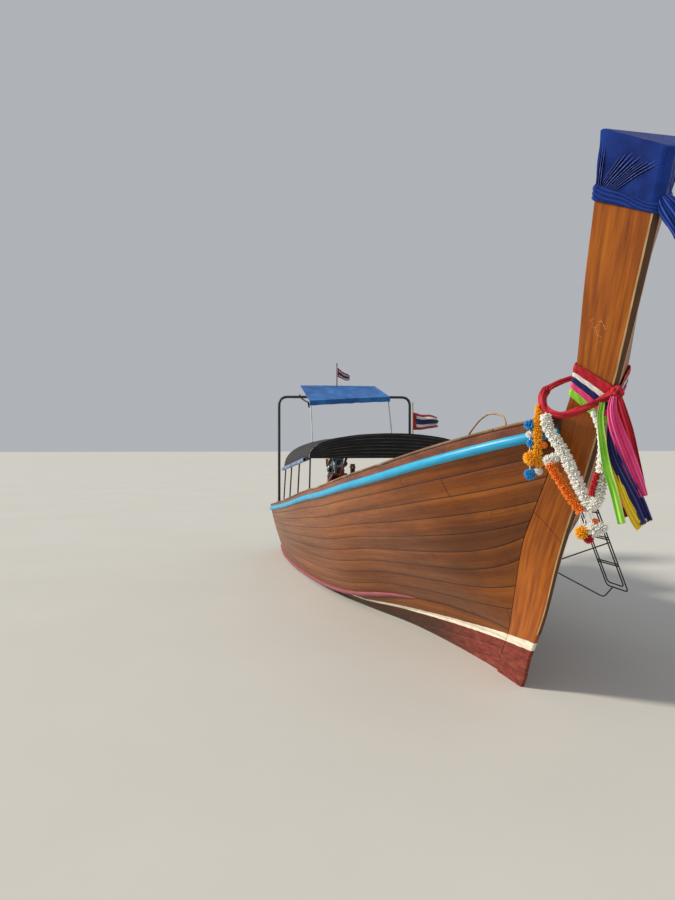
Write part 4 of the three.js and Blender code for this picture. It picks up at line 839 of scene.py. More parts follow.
_, canvas_material = cloth("dark_canvas", ("0d0e10", "1f2023"), 0.004, 0.85, "34353a", 0.4, 0.03)
s = np.linspace(ROOF["aft"] - ROOF["lap"], ROOF["fore"] + 0.014, CANVAS["rows"])[:, None]
share = np.linspace(0, 1, CANVAS["columns"])[None, :]
bay = np.searchsorted(HOOPS, s).clip(1, 3)
along_bay = np.clip((s - HOOPS[bay - 1]) / (HOOPS[bay] - HOOPS[bay - 1]), 0, 1)
between_laths = np.sin(math.pi * np.clip((share - 0.05) / 0.9, 0, 1) * (LATH["count"] - 1)) ** 2
sag = np.sin(math.pi * along_bay) * (0.35 + 0.65 * between_laths) * CANVAS["dip"]
ripple = 0.0015 * np.sin(s * 31 + 3 * np.sin(share * 17)) * np.abs(np.sin(share * 23 + s * 2))
canvas = roof(s, share, CANVAS["lift"])
canvas[..., 2] += ripple - sag
canvas_piece = piece("canopy_canvas", [skin(canvas)], canvas_material,
                     stands_for=["roof_canvas"])
thicken(canvas_piece, CANVAS["thick"])

gable_share = np.linspace(0, 1, 60)[None, :]
gable_down = np.linspace(0, 1, 30)[:, None]
upper = roof(ROOF["fore"] + ROOF["gable"], gable_share, 0.016)
lower = np.stack([upper[..., 0], upper[..., 1], np.full_like(upper[..., 2], ROOF["fore eave"])], -1)
gable = upper * (1 - gable_down[..., None]) + lower * gable_down[..., None]
gable_wave = 7 * gable_down + 0.6 * np.sin(5 * gable_share) + 1.5 * gable_share
gable_fold = np.abs(np.sin(math.pi * gable_wave)) ** 0.6
gable[..., 0] += 0.006 * gable_fold * np.sin(math.pi * gable_down) ** 0.5
look, flap_material = cloth("front_flap", ("0c0c0e", "1d1d20"), 0.004, 0.8, "34353a", 0.4, 0.05)
# The flap is paler along the crests of its folds, in lines broken up by a noise.
wear = look.noise(look.stretch(look.place, (1, 0.35, 1)), 9.0, 4.0)
line = look.times(look.between(look.mark("fold"), 0.9, 1.0), look.between(wear, 0.36, 0.6, 0.25, 1.0))
look.finish(look.mix(line, look.linked("Base Color"), "716a60"))
gable_piece = piece("canopy_gable", [skin(gable)], flap_material,
                    stands_for=["roof_gable"], marks={"fold": gable_fold})
thicken(gable_piece, CANVAS["thick"])


def mottled(name, tones, scale, detail, high=0.6, **constants):
    """Two tones in small soft patches, with a slight relief."""
    look = Look(name, **constants)
    patch = look.noise(look.place, scale, detail)
    return look.finish(look.ramp(patch, [(0.35, tones[0]), (high, tones[1])]), None, look.bump(patch, 0.001))


piping_material = mottled("piping", ("8f8a80", "d8d3c6"), 30.0, 5.0, roughness=0.8)
hem_share = np.linspace(0.002, 0.998, 260)
hem = roof(ROOF["aft"] - ROOF["lap"], hem_share, CANVAS["lift"] - 0.002)
hem[:, 2] -= 0.006 * np.abs(np.sin(hem_share * math.pi * 26))
piece("canopy_piping", [tube(hem, 0.0055, 8)], piping_material)

# Rain curtains are rolled up loosely under both eaves and tied with tapes: blue woven
# plastic with a white selvedge, each a spiral of two and a half turns.
CURTAIN = {"radius": 0.033, "aft": 0.06, "fore": 0.12, "turns": 2.5, "ties": 5, "lift": 0.0234, "drop": 0.004,
           "tie": 0.03}


def curtain_roll(sign):
    """A spiral drawn along the eave: the radius falls evenly with the turn, and swells and
    sinks a little along the roll between its ties."""
    s = np.linspace(ROOF["aft"] + CURTAIN["aft"], ROOF["fore"] - CURTAIN["fore"], 150)[:, None]
    turn = np.linspace(0, CURTAIN["turns"] * 2 * math.pi, 90)[None, :]
    tie = np.abs(np.sin(math.pi * CURTAIN["ties"] * (s - s[0]) / (s[-1] - s[0]) + math.pi / 2))
    squeeze = 0.84 + 0.16 * tie**0.5
    creases = 0.035 * np.sin(5 * turn + 14 * s) * np.cos(23 * s) + 0.03 * np.sin(61 * s + 2 * turn)
    radius = (CURTAIN["radius"] - 0.0035 * turn / math.pi) * squeeze * (1 + creases)
    out = ROOF["half"] + CURTAIN["lift"] + CURTAIN["radius"] + radius * np.cos(turn + 1.6)
    up = eave(s) - CURTAIN["drop"] + radius * np.sin(turn + 1.6)
    s, out, up = np.broadcast_arrays(s, out, up)
    return ship(np.stack([s, out, up], -1), sign)


look, curtain_material = cloth("curtain_cloth", ("1d4a8c", "2f6fb5"), 0.003, 0.7, "9db6d6", 0.35)
crumple = look.noise(look.stretch(look.place, (2.5, 1, 1)), 11.0, 5.0, 0.65)
colour = look.mix(look.between(crumple, 0.5, 0.62, 0, 0.85), look.linked("Base Color"), "b4c6dc")
selvedge = look.calc("GREATER_THAN", look.calc("PINGPONG", look.axis(look.cloth, "Y"), 0.075), 0.056)
look.finish(look.mix(selvedge, colour, "dfe3e8"))
_, tape_material = cloth("tie_tape", ("9c978c", "d2cdc0"), 0.002)
tie_turn = np.linspace(0, 2 * math.pi, 33)
tie_circle = CURTAIN["tie"] * np.stack([0 * tie_turn, np.cos(tie_turn), np.sin(tie_turn)], -1)
tie_step = (ROOF["fore"] - ROOF["aft"] - CURTAIN["aft"] - CURTAIN["fore"]) / CURTAIN["ties"]
for side, sign in SIDES:
    roll = piece(f"curtain_{side}", [skin(curtain_roll(sign))], curtain_material,
                 stands_for=[f"curtain_roll_{side}"])
    thicken(roll, CLOTH)
    ties = []
    for k in range(CURTAIN["ties"]):
        where = ROOF["aft"] + CURTAIN["aft"] + (k + 0.5) * tie_step
        centre = (where, ROOF["half"] + CURTAIN["lift"] + CURTAIN["radius"], eave(where) - CURTAIN["drop"])
        edges = [centre + tie_circle + (dx, 0, 0) for dx in (-0.007, 0.007)]
        ties.append(skin(ship(np.stack(edges, 1), sign)))
    thicken(piece(f"curtain_ties_{side}", ties, tape_material), 0.002)

# A bent steel arch stands across the stern on the caps, a little askew. Over the helm a
# blue tarpaulin is lashed to a frame of thin whitish poles that rests on the arch.
ARCH = {"stbd": -7.3, "port": -6.93, "inboard": 0.042, "top": 3.05, "radius": 0.025, "corner": 0.17}
TARP = {"fore": -6.8, "aft": -7.9, "middle": -0.035, "half": 0.765, "slope": -0.308, "twist": 0.046,
        "valance": 0.09, "thick": 0.0015}
BATTEN = 0.0107
feet = {}
for side, sign in SIDES:
    p, z = sheer(ARCH[side])
    feet[side] = np.array([ARCH[side], sign * (p - ARCH["inboard"]), z])
arch_corners = [feet["stbd"] - (0, 0, 0.001), feet["stbd"] * (1, 1, 0) + (0, 0, ARCH["top"]),
                feet["port"] * (1, 1, 0) + (0, 0, ARCH["top"]), feet["port"] - (0, 0, 0.001)]
parts = [tube(ship(bend(arch_corners, ARCH["corner"], 10)), ARCH["radius"], 16)]
for side, sign in SIDES:
    parts += screwed_plate(ship(feet[side]), (0.06, 0.035, 0.008), 0.045, 0.009, 0.008, 0.002)
piece("helm_arch", parts, steel_look, stands_for=["stern_arch"])


def tarp_height(s, p):
    """Height of the poles' middles: on the arch's bar, and sloping aft upward from it."""
    bar = np.interp(p, [feet["port"][1], feet["stbd"][1]], [ARCH["port"], ARCH["stbd"]])
    return ARCH["top"] + 0.95 * (ARCH["radius"] + 0.011) + (TARP["slope"] - TARP["twist"] * p) * (s - bar)


def on_poles(s, p, lift=0.0):
    """Places on the poles' middles, or a lift above them."""
    s, p = np.broadcast_arrays(np.asarray(s, float), np.asarray(p, float))
    return ship(np.stack([s, p, tarp_height(s, p) + lift], -1))


pole_look = old_paint("pole_paint", ("a9aaa6", "d6d5cf"), "8a7a66", 0.55, 0.1, 0.6)
edges = [TARP["middle"] + sign * (TARP["half"] - 0.025) for sign in (1, -1)]
fore, aft = TARP["fore"] - 0.048, TARP["aft"] + 0.015
parts = [tube(on_poles(s, edges), BATTEN) for s in (fore, aft)]
parts += [tube(on_poles([aft, fore], p), BATTEN) for p in (*edges, TARP["middle"])]
pole_foot = ROOF["aft"] + 0.02
for p in edges:
    share = math.acos(p / ROOF["half"]) / math.pi
    parts.append(tube([on_poles(fore, p), roof(pole_foot, share, 0.024)], BATTEN))
piece("tarp_poles", parts, pole_look, stands_for=["tarp_frame"])


def tarp_sheet():
    """One sheet over the poles and down all sides but the after one. Between the poles it
    sinks as a product of sines; creases run fore and aft, and the front hangs in scallops."""
    s = np.concatenate([np.linspace(TARP["aft"], TARP["fore"], 80), np.full(14, TARP["fore"] + 0.004)])
    drop_s = np.concatenate([np.zeros(80), np.linspace(0.012, TARP["valance"], 14)])
    y = np.concatenate([np.full(4, -1.0), np.linspace(-1, 1, 110), np.full(4, 1.0)])[None, :]
    drop_p = np.concatenate([np.linspace(0.012, 0, 4), np.zeros(110), np.linspace(0, 0.012, 4)])
    s, p = s[:, None], y * TARP["half"] + TARP["middle"]
    x = (s - TARP["aft"]) / (TARP["fore"] - TARP["aft"])
    lift = BATTEN + 0.0035
    dip = 0.016 * np.sin(math.pi * np.clip(x, 0, 1)) * np.abs(np.sin(math.pi * y)) ** 0.8
    lengthwise = np.sin(24 * y + 1.3 * np.sin(5 * x)) * np.sin(3 * y + 2 * x)
    crease = 0.0025 * (lengthwise + np.abs(np.sin(8.5 * x + y))**6) * np.clip(1 - y * y, 0, 1)
    down = drop_s[:, None] * (1 + 0.03 * np.sin(15 * y + 1)) + drop_p[None, :]
    sheet = on_poles(s, p, lift - dip + crease - down)
    hanging = np.clip(drop_s[:, None] / TARP["valance"], 0, 1)
    sheet[..., 0] += hanging * (0.002 + 0.003 * np.sin(31 * y + 2 * np.sin(9 * y)))
    sheet[..., 1] -= np.sign(y) * 0.003 * (drop_p[None, :] > 0)
    return sheet


_, tarp_material = cloth("blue_tarp", ("094a92", "1873c0"), 0.0035, 0.6, "4a93d2", 0.3, 0.02)
tarp = piece("helm_tarp", [skin(tarp_sheet())], tarp_material, stands_for=["stern_tarp"])
thicken(tarp, TARP["thick"])
ropes = []
turn = np.linspace(0, 2 * math.pi, 17)
lashing = np.stack([0.004 * np.sin(turn), 0.0145 * np.cos(turn), 0.0145 * np.sin(turn)], -1)
for x in np.linspace(0.06, 0.94, 5):
    for p in edges:
        s = TARP["aft"] + x * (TARP["fore"] - TARP["aft"])
        ropes.append(tube(ship(lashing + (s, p, tarp_height(s, p))), 0.002, 6))
piece("tarp_lashings", ropes, tape_material)

# Two flags with red, white and navy stripes fly to port from thin turned staffs: one over
# the canopy's side, one drooping over the tarpaulin. Each is hemmed cotton on its hoist.
STAFFS = {"stern": ((-7.84, 0.0), 2.99, 3.79), "roof": ((-5.5, -0.82), 2.2, 2.87)}
STAFF_RADIUS = 0.0105
FLAGS = {
    "stern": {"fly": [[-14, 3600, 185], [-90, 3555, 165], [-180, 3512, 130], [-265, 3485, 90]],
              "cut": (0.2, 0.32), "pleats": 2.0, "wave": 0.012},
    "roof": {"fly": [[-826, 2540, 296], [-970, 2525, 268], [-1110, 2538, 225], [-1270, 2520, 165]],
             "cut": (0.3, 0.47), "pleats": 1.5, "wave": 0.02},
}
cane_look = plain_wood("staff_cane", ("6b5334", "a98c5c", "cdb484"), 0.55, 0.001, "z")
staff_looks = {"stern": plain_wood("staff_dark", ("140d09", "2a1a12", "3f2a1c"), 0.5, 0.001, "z"),
               "roof": cane_look}
look, flag_material = cloth("flag_cloth", ("c9c6c2", "efece6"), 0.002, 0.75, "b9b4ac", 0.2, 0.3, 0.15)
away = look.off(look.mark("stripe"), 0.5)
stripes = look.mix(look.calc("LESS_THAN", away, 1 / 6), look.linked("Base Color"), "262a5c")
stripes = look.mix(look.calc("GREATER_THAN", away, 1 / 3), stripes, "b3202c")
look.finish(look.mix(look.calc("LESS_THAN", look.mark("fly"), 0.13), stripes, "b01c28"))


def flag(foot, fly, cut, pleats, wave):
    """Cloth from the hoist outward: its height narrows to the width given while pleats take
    up the rest, so each line across it keeps the cut's width; long waves run to the fly."""
    fly = np.array(fly) / 1000
    a, b = np.linspace(0, 1, 70), np.linspace(0, 1, 60)
    line = spline(fly, a * (len(fly) - 1))
    width = line[:, 2:3]
    spare = np.sqrt(np.clip((cut[0] / width) ** 2 - 1, 0, None) * 2) * width / (2 * math.pi * pleats)
    phase = 2 * math.pi * pleats * b[None, :]
    down, up = a[:, None], b[None, :]
    side = spare * np.sin(phase + 2.5 * down) + wave * down**0.7 * np.sin(9 * down + 1.4 * up)
    drop = 0.012 * down * np.sin(7 * down + 2 * up)
    p = np.broadcast_to(line[:, 0:1], side.shape)
    z = line[:, 1:2] + width * (up - 0.5) + drop
    return ship(np.stack([foot[0] + side, p, z], -1)), a, b


for name, ((s, p), low, high) in STAFFS.items():
    heights = np.array([low, high - 0.06, high - 0.05, high - 0.03, high - 0.012, high])
    if name == "stern":
        heights[0] = tarp_height(s, p) + 0.014
    radii = STAFF_RADIUS * np.array([1, 0.8, 1.05, 1.05, 0.9, 0.3])
    shaft = ship(np.stack([np.full(6, s), np.full(6, p), heights], -1))
    piece(f"staff_{name}", [tube(shaft, radii)], staff_looks[name], stands_for=[f"flag_staff_{name}"])
    sheet, a, b = flag((s, p), **FLAGS[name])
    marks = {"fly": np.broadcast_to(a[:, None], sheet.shape[:2]),
             "stripe": np.broadcast_to(b[None, :], sheet.shape[:2])}
    made = piece(f"striped_flag_{name}", [skin(sheet)], flag_material,
                 stands_for=[f"flag_{name}"], marks=marks)
    thicken(made, CLOTH)

# The boarding ladder over the port bow is two round steel rods, one inside the other, bent
# in a U at the foot and hooked over the bulwark, with paired rungs and bent braces.
LADDER = {"aft": -1.17, "fore": -0.8, "rod": 0.007, "pair": 0.045, "bend": 0.045, "rung pair": 0.011}
STILE = np.array([[1610, 590], [1129.5, 1765], [1129.5, 2015], [915, 2015]]) / 1000
RUNGS = (0.87, 1.15, 1.43, 1.71)
BRACES = ([(-1.17, 0.4, 1.072), (-1.165, 1.568, 0.46), (-1.06, 1.608, 0.592)],
          [(-0.8, 0.395, 0.835), (-0.8, 1.395, 1.114)])


def stile_p(z):
    """How far outboard the ladder's rods are at a height."""
    return np.interp(z, STILE[:2, 1], STILE[:2, 0])


def ladder_hook(s):
    """An outer rod from its foot up and over the bulwark, with its end on the foredeck."""
    rows = np.vstack([STILE, [STILE[-1, 0], np.interp(s, [-1.17, -0.8], [1.775, 1.84])]])
    return np.column_stack([np.full(len(rows), s), rows])


aft, fore, pair = LADDER["aft"], LADDER["fore"], LADDER["pair"]
foot = STILE[0, 1] + pair
outer_rod = np.concatenate([ladder_hook(aft)[::-1], ladder_hook(fore)])
inner_rod = np.array([[aft + pair, stile_p(RUNGS[-1]), RUNGS[-1]], [aft + pair, stile_p(foot), foot],
                      [fore - pair, stile_p(foot), foot], [fore - pair, stile_p(RUNGS[-1]), RUNGS[-1]]])
parts = [tube(ship(bend(route, LADDER["bend"], 8), -1), LADDER["rod"]) for route in (outer_rod, inner_rod)]
for height in RUNGS:
    for z in (height - LADDER["rung pair"], height + LADDER["rung pair"]):
        parts.append(tube(ship(np.array([[aft, stile_p(z), z], [fore, stile_p(z), z]]), -1), LADDER["rod"]))
for route in BRACES:
    route = np.array(route)
    parts.append(tube(ship(bend(route, 0.045) if len(route) > 2 else route, -1), LADDER["rod"]))
ladder_look = old_paint("ladder_steel", ("2a2b2e", "4a4b4e"), "6b3d22", 0.5, 0.6, 0.52)
piece("bow_ladder", parts, ladder_look, stands_for=["boarding_ladder"])

# A hoop of bent cane stands fore and aft on the foredeck, its ends pushed into the deck.
HOOP = np.array([[-1375, 1700], [-1330, 2060], [-1208, 2208], [-972, 2341], [-772, 2408],
                 [-601, 2421], [-403, 2391], [-326, 2320], [-345, 2220], [-385, 2000]]) / 1000
low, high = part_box("bow_hoop")
HOOP[[0, -1], 1] = low.z + 0.002, np.interp(-0.385, [-1.0, -0.1], [1.833, 2.0])
hoop_line = spline(HOOP, np.linspace(0, len(HOOP) - 1, 90))
hoop = np.stack([hoop_line[:, 0], 0 * hoop_line[:, 0], hoop_line[:, 1]], -1)
hoop_knots = 0.0094 * (1 + 0.07 * np.exp(-((np.mod(np.arange(90), 15) - 7) / 0.8) ** 2))
piece("cane_hoop", [tube(ship(hoop), hoop_knots, 12)], cane_look, stands_for=["bow_hoop"])

# A royal-blue satin cloth is drawn over the post's head, gathered in sharp pleats to a
# point low at its after edge, and bound round with a twisted fold of the same cloth.
CAP_ROWS = {"low": (12.95, 13.06), "high": 14.0, "over": 0.016}
CAP_CLEAR = 0.006
SATIN = 0.0014
BINDING = {"after": 13.27, "fore": 13.1, "stand": 0.008}
FAN = {"foot row": 13.27, "rise": 0.5, "ridges": 10, "deep": 0.012}


def ring_columns(counts):
    """Places round a ten-point ring, with a count of steps for each of its sides."""
    return np.concatenate([np.linspace(k, k + 1, n, endpoint=False) for k, n in enumerate(counts)])


def around(ring, columns):
    """Points at fractional places round closed rings."""
    closed = np.concatenate([ring, ring[:, :1]], 1)
    k = columns.astype(int)
    share = (columns - k)[None, :, None]
    return closed[:, k] * (1 - share) + closed[:, k + 1] * share


def ring_normals(grid):
    """Unit normals of closed rings, away from each ring's middle."""
    wide = np.concatenate([grid[:, -1:], grid, grid[:, :1]], 1)
    normal = np.cross(np.gradient(wide, axis=1), np.gradient(wide, axis=0))[:, 1:-1]
    normal /= np.linalg.norm(normal, axis=-1, keepdims=True) + 1e-12
    away = grid - grid.mean(1, keepdims=True)
    return normal * np.where((normal * away).sum(-1, keepdims=True) < 0, -1, 1)


def side_share(columns):
    """Share of the way from the after edge to the front one, on either side of the post."""
    return np.interp(columns, [0, 1, 3, 4, 5, 6, 8, 9, 10], [0, 0, 1, 1, 1, 1, 0, 0, 0])


def cap_folds(q, row, columns):
    """Height of the cloth, how far up the binding's folds each place lies, its place counted
    in pleats, and how tightly it is gathered there. On each side sharp ridges fan out between
    a short line low at the after edge and a long one higher up, beside three upright ones;
    the binding's ridges slant."""
    on_side = ((columns > 1) & (columns < 3.6)) | ((columns > 5.4) & (columns < 8))
    u = 0.5
    for _ in range(4):
        v = (row - FAN["foot row"] + 0.06 * u) / FAN["rise"]
        u = (q - 0.1 - 0.3 * v) / (0.28 + 0.35 * v)
    ends = 1.02 + 0.1 * np.sin(2.1 * np.floor(FAN["ridges"] * u))
    across = np.clip((u + 0.02) / 0.05, 0, 1) * np.clip((1.03 - u) / 0.05, 0, 1)
    fade = np.clip((v + 0.1) / 0.12, 0, 1) * np.clip((ends - v) / 0.3, 0, 1)
    upright = (q - 0.02 - 0.02 * (row - 13.3)) / 0.034
    sides = np.clip(upright / 0.3, 0, 1) * np.clip((3 - upright) / 0.3, 0, 1)
    gather = on_side * np.maximum(across * fade, sides * np.clip((13.88 - row) / 0.3, 0, 1))
    pleat = np.where(sides > 0, upright, FAN["ridges"] * u + 0.2 * np.sin(11 * u))
    fan = FAN["deep"] * gather * (0.85 - np.abs(np.sin(math.pi * pleat)) ** 0.8)
    top = BINDING["after"] + (BINDING["fore"] - BINDING["after"]) * q
    low = CAP_ROWS["low"][1] + (CAP_ROWS["low"][0] - CAP_ROWS["low"][1]) * q
    v = (row - low) / (top - low)
    bound = np.clip(v / 0.12, 0, 1) * np.clip((1.04 - v) / 0.12, 0, 1)
    twist = np.abs(np.sin(math.pi * (3.2 * v + 1.8 * q + 0.25 * np.sin(9 * q)))) ** 0.8
    binding = bound * (BINDING["stand"] + 0.006 * twist)
    soft = 0.002 * np.sin(13 * row + 9 * q + columns) * (v > 1.05)
    # folded is the binding's painted light and shade: its raised twists are lighter and the hollows between
    # them darker; the cloth above stays plain.
    folded = np.where(v > 1, 1, 0.35 + 0.7 * twist)
    return fan * (v > 1) + binding + soft, folded, pleat, gather * (v > 1)


def satin(name, tones, weave=0.0016, pleats=False, lift=0.03):
    """A smooth glossy cloth with painted shade in the valleys of its folds and a painted highlight
    on their crests; its sharpest pleats are lines of their own."""
    look, _ = cloth(name, tones, weave, 0.5, tones[1], 0.2, 0.05, 0.04)
    look.shader.inputs["Specular IOR Level"].default_value = 0.1 if pleats else 0.22
    base = look.linked("Base Color")
    # Painted shade and highlight: the darkest tone goes into the folds' valleys, and a lightened tone, raised
    # by lift, onto their crests.
    deep = tuple(0.22 * part for part in paint(tones[0])[:3]) + (1.0,)
    crest_highlight = tuple(min(1.0, 1.5 * part + lift) for part in paint(tones[1])[:3]) + (1.0,)
    fold, normal = look.mark("fold"), None
    if pleats:
        # The pleats' valleys get deeper painted shade and their ridges the painted highlight, through the
        # fold value.
        wave = look.calc("ABSOLUTE", look.calc("SINE", look.times(look.mark("pleat"), math.pi)))
        rise = look.between(wave, 0.12, 0.7, 0.3, -1.1)
        fold = look.calc("MULTIPLY_ADD", look.mark("gather"), rise, fold)
        normal = look.bump(fold, 0.005, 0.6, look.linked("Normal"))
    colour = look.mix(look.between(fold, 0.0, 0.55), deep, base)
    return look.finish(look.mix(look.between(fold, 1.0, 1.3), colour, crest_highlight), normal=normal)


columns = ring_columns((3, 92, 64, 3, 6, 3, 56, 44, 3, 16))
b = np.linspace(0, 1, 136)
(nose_low, corner_low), top_row = CAP_ROWS["low"], CAP_ROWS["high"]
nose_rows, corner_rows = nose_low + (top_row - nose_low) * b, corner_low + (top_row - corner_low) * b
base = around(post_ring(nose_rows, corner_rows, CAP_CLEAR, 0.016, 0.02), columns)
q = side_share(columns)[None, :]
rows = corner_rows[:, None] + (nose_rows - corner_rows)[:, None] * q
folds, folded, pleat, gather = cap_folds(q, rows, np.broadcast_to(columns, rows.shape))
cap = base + ring_normals(base) * folds[..., None]
over = np.linspace(0, 1, 14)[:, None, None]
lip, middle = cap[-1:], cap[-1:].mean(1, keepdims=True)
lid = lip + (middle - lip) * over**1.3 * 0.995
lid[..., 2:] += CAP_ROWS["over"] * np.clip(over * 7, 0, 1) ** 0.5 - 0.004 * over
lid[..., 2] += 0.0015 * np.sin(40 * lid[..., 1]) * np.sin(26 * lid[..., 0]) * np.clip(over[..., 0] * 4, 0, 1)
# Both head cloths take painted shade in their folds and painted highlights on their crests; the pleated one's
# highlight is brighter.
cap_material = satin("royal_cloth", ("0a2268", "1a429e"))
cap_look = satin("royal_cloth_pleated", ("0a2268", "1a429e"), pleats=True, lift=0.14)
cap_marks = {mark: np.concatenate([values, np.full((13, len(columns)), over_top)])
             for mark, values, over_top in (("fold", folded, 1), ("pleat", pleat, 0), ("gather", gather, 0))}
cap_piece = piece("head_cloth", [skin(np.concatenate([cap, lid[1:]]), wrap=True)], cap_look,
                  stands_for=["prow_cloth"], sharp=60, marks=cap_marks)
thicken(cap_piece, SATIN, -1)


def strip(route, pleats, depth, across, count=(70, 44), seed=0.0):
    """Cloth hung along a route of s, p, z, width: pleats lie across it as a sine whose depth
    grows down the strip, with a slower wave, and its edges curl."""
    route = np.array(route) / 1000
    a, w = np.linspace(0, 1, count[0]), np.linspace(-1, 1, count[1])
    line = spline(route, a * (len(route) - 1))
    middle, half = ship(line[:, :3]), line[:, 3] / 2
    tangent, across = unit(np.gradient(middle, axis=0)), np.array(across, float)
    side = unit(across - tangent * (tangent @ across)[:, None])
    face = np.cross(tangent, side)
    half = half * (1 + 0.05 * np.sin(7 * a + seed))
    a, w = a[:, None], w[None, :]
    phase = math.pi * w + 0.3 * np.sin(3 * a + seed)
    ripple = 0.65 * np.sin(pleats * phase + seed) + 0.45 * np.sin(0.43 * pleats * phase + 2 * seed + 2 * a)
    wave = ripple + np.sin(2.2 * w + 5 * a + seed) * 0.5
    lift = depth * (0.45 + 0.55 * a) * wave
    # fold carries painted light and shade: where the pleats are pushed forward the cloth is lighter, and
    # where they are pushed aft it is darker.
    fold = 0.86 + 0.42 * np.clip(wave, -1, 1) * np.sign(face[:, :1])
    flat = middle[:, None] + side[:, None] * half[:, None, None] * w[..., None]
    return flat + face[:, None] * lift[..., None], fold


CLOTH_TAIL = [[1796, 2, 3640, 60], [1806, -20, 3602, 112], [1824, -70, 3525, 150], [1824, -106, 3455, 124],
              [1815, -130, 3392, 84]]
tail, fold = strip(CLOTH_TAIL, 7, 0.011, (0.5, 1, 0))
tail_piece = piece("head_cloth_tail", [skin(tail)], cap_material, stands_for=["cloth_tail"],
                   marks={"fold": fold})
thicken(tail_piece, SATIN)

# Five ribbons are wound round the post one below another, sloping down to a knot at its
# front edge: red, white, navy, pink and lime, each crossed by fine creases.
WRAPS = {"low": (10.0, 10.6), "high": (10.96, 11.14), "clear": 0.004}
RIBBONS = (("lime", 0.0, 0.3, ("86d92f", "b0f65c"), "lime_cloth"),
           ("pink", 0.285, 0.5, ("e0306c", "ff5c9a"), "pink_cloth"),
           ("navy", 0.485, 0.68, ("101440", "252a6c"), "navy_cloth"),
           ("white", 0.665, 0.8, ("d6d1ca", "fbf8f4"), "ribbon_cloth"),
           ("red", 0.785, 1.0, ("9a0f1c", "cf2134"), "red_cloth"))
ribbon_looks = {}
for order, (name, low, high, tones, slot) in enumerate(RIBBONS):
    ribbon_looks[name] = satin(f"{name}_ribbon", tones)
    b = np.linspace(low, high, 26)
    nose_rows = WRAPS["low"][0] + (WRAPS["high"][0] - WRAPS["low"][0]) * b
    corner_rows = WRAPS["low"][1] + (WRAPS["high"][1] - WRAPS["low"][1]) * b
    columns = ring_columns((2, 30, 30, 2, 6, 2, 30, 30, 2, 40))
    base = around(post_ring(nose_rows, corner_rows, WRAPS["clear"], 0.014, 0.016), columns)
    q, v = side_share(columns)[None, :], ((b - low) / (high - low))[:, None]
    crease = np.abs(np.sin(math.pi * (2.5 * v + 0.6 * q + order))) ** 0.7
    roll = np.sin(math.pi * v) ** 0.5
    height = 0.003 + 0.0012 * order + 0.0045 * roll + 0.003 * crease * roll
    height = height + 0.0012 * np.sin(21 * q + 5 * order + 4 * v)
    wound = base + ring_normals(base) * height[..., None]
    nodes_for = ["ribbon_wraps"] if name == "navy" else []
    # The fold mark paints shade into the hollows between each ribbon's creases and along its edges; the
    # raised creases of its rolled middle are lighter.
    made = piece(f"wound_ribbon_{name}", [skin(wound, wrap=True)], ribbon_looks[name],
                 stands_for=nodes_for, marks={"fold": 0.25 + 0.75 * crease * roll})
    thicken(made, CLOTH, -1)
    length = running(np.concatenate([wound, wound[:, :1]], 1), 1)[-1]

# A red sash is knotted over the ribbons at the front edge and falls in a loose twisted loop
# round the starboard side to behind the post; it is a long cloth folded on itself.
SASH = np.array([[1366, 20, 2474, 52], [1345, 30, 2462, 60], [1235, 130, 2386, 58], [1110, 225, 2332, 62],
                 [1010, 300, 2345, 66], [940, 325, 2420, 70], [905, 275, 2520, 62], [960, 160, 2588, 56],
                 [1060, 60, 2622, 50], [1100, 20, 2630, 44]])


def twisted(route, lobes, turns, rolled=1.55, flat=0.78, count=(170, 64)):
    """A loosely rolled cloth: its section is a flattened spiral whose radius rises and falls
    in lobes, and the lobes turn along the route."""
    route = np.array(route, float) / 1000
    a, t = np.linspace(0, 1, count[0])[:, None], np.linspace(0, 1, count[1])[None, :]
    line = spline(route, a[:, 0] * (len(route) - 1))
    middle = ship(line[:, :3])
    _, side, up = square_to(middle)
    turn = rolled * 2 * math.pi * t + 2.0
    lobe = 1 + 0.16 * np.sin(lobes * (turn + turns * 2 * math.pi * a)) + 0.05 * np.sin(
        (2 * lobes + 1) * turn + 30 * a)
    radius = (line[:, 3:4] / 2 * (1 - 0.32 * t) * lobe)[..., None]
    # fold carries painted light and shade: the roll's swelling lobes are lighter and the hollows between them
    # darker.
    fold = 0.45 + 0.55 * (lobe - 0.79) / 0.42
    return middle[:, None] + radius * wheel(turn, side, flat * up), fold


sash, sash_fold = twisted(SASH, 4, 1.6)
KNOT = {"half": np.array([0.036, 0.04, 0.046]), "at": np.array([1.37, 0.012, 2.472])}
turn, up = round_turn(60)[None, :], np.linspace(-1.45, 1.45, 40)[:, None]
lump = 1 + 0.16 * np.sin(3 * turn + 3.2 * up) + 0.07 * np.sin(7 * turn - 5 * up)
ball = np.broadcast_arrays(lump * np.cos(up) * np.cos(turn), lump * np.cos(up) * np.sin(turn), np.sin(up))
knot = np.stack(ball, -1) * KNOT["half"] + ship(KNOT["at"])
# The knot's fold value paints light on its lumps and shade in its hollows.
sash_piece = piece("knotted_sash", [skin(sash), skin(knot, wrap=True)],
                   ribbon_looks["red"], stands_for=["red_sash"],
                   marks={"fold": np.concatenate([sash_fold.ravel(), ((lump - 0.77) / 0.46).ravel()])})
thicken(sash_piece, CLOTH)

# A strip of black cloth ties the tarpaulin's starboard corner to the arch's bar, knotted
# round the bar with its loose end hanging.
STRAP = np.array([[-7.175, 0.862, 3.082, 0.03], [-7.13, 0.858, 3.062, 0.034], [-7.1, 0.83, 3.01, 0.036],
                  [-7.0, 0.775, 2.955, 0.034], [-6.9, 0.748, 2.93, 0.036], [-6.885, 0.735, 2.88, 0.04],
                  [-6.9, 0.725, 2.83, 0.03]])
strap, strap_fold = twisted(STRAP * 1000, 3, 1.1, count=(80, 40))
strap_look = satin("strap_cloth", ("121214", "242428"))
strap_piece = piece("arch_strap", [skin(strap)], strap_look, marks={"fold": strap_fold})
thicken(strap_piece, CLOTH)

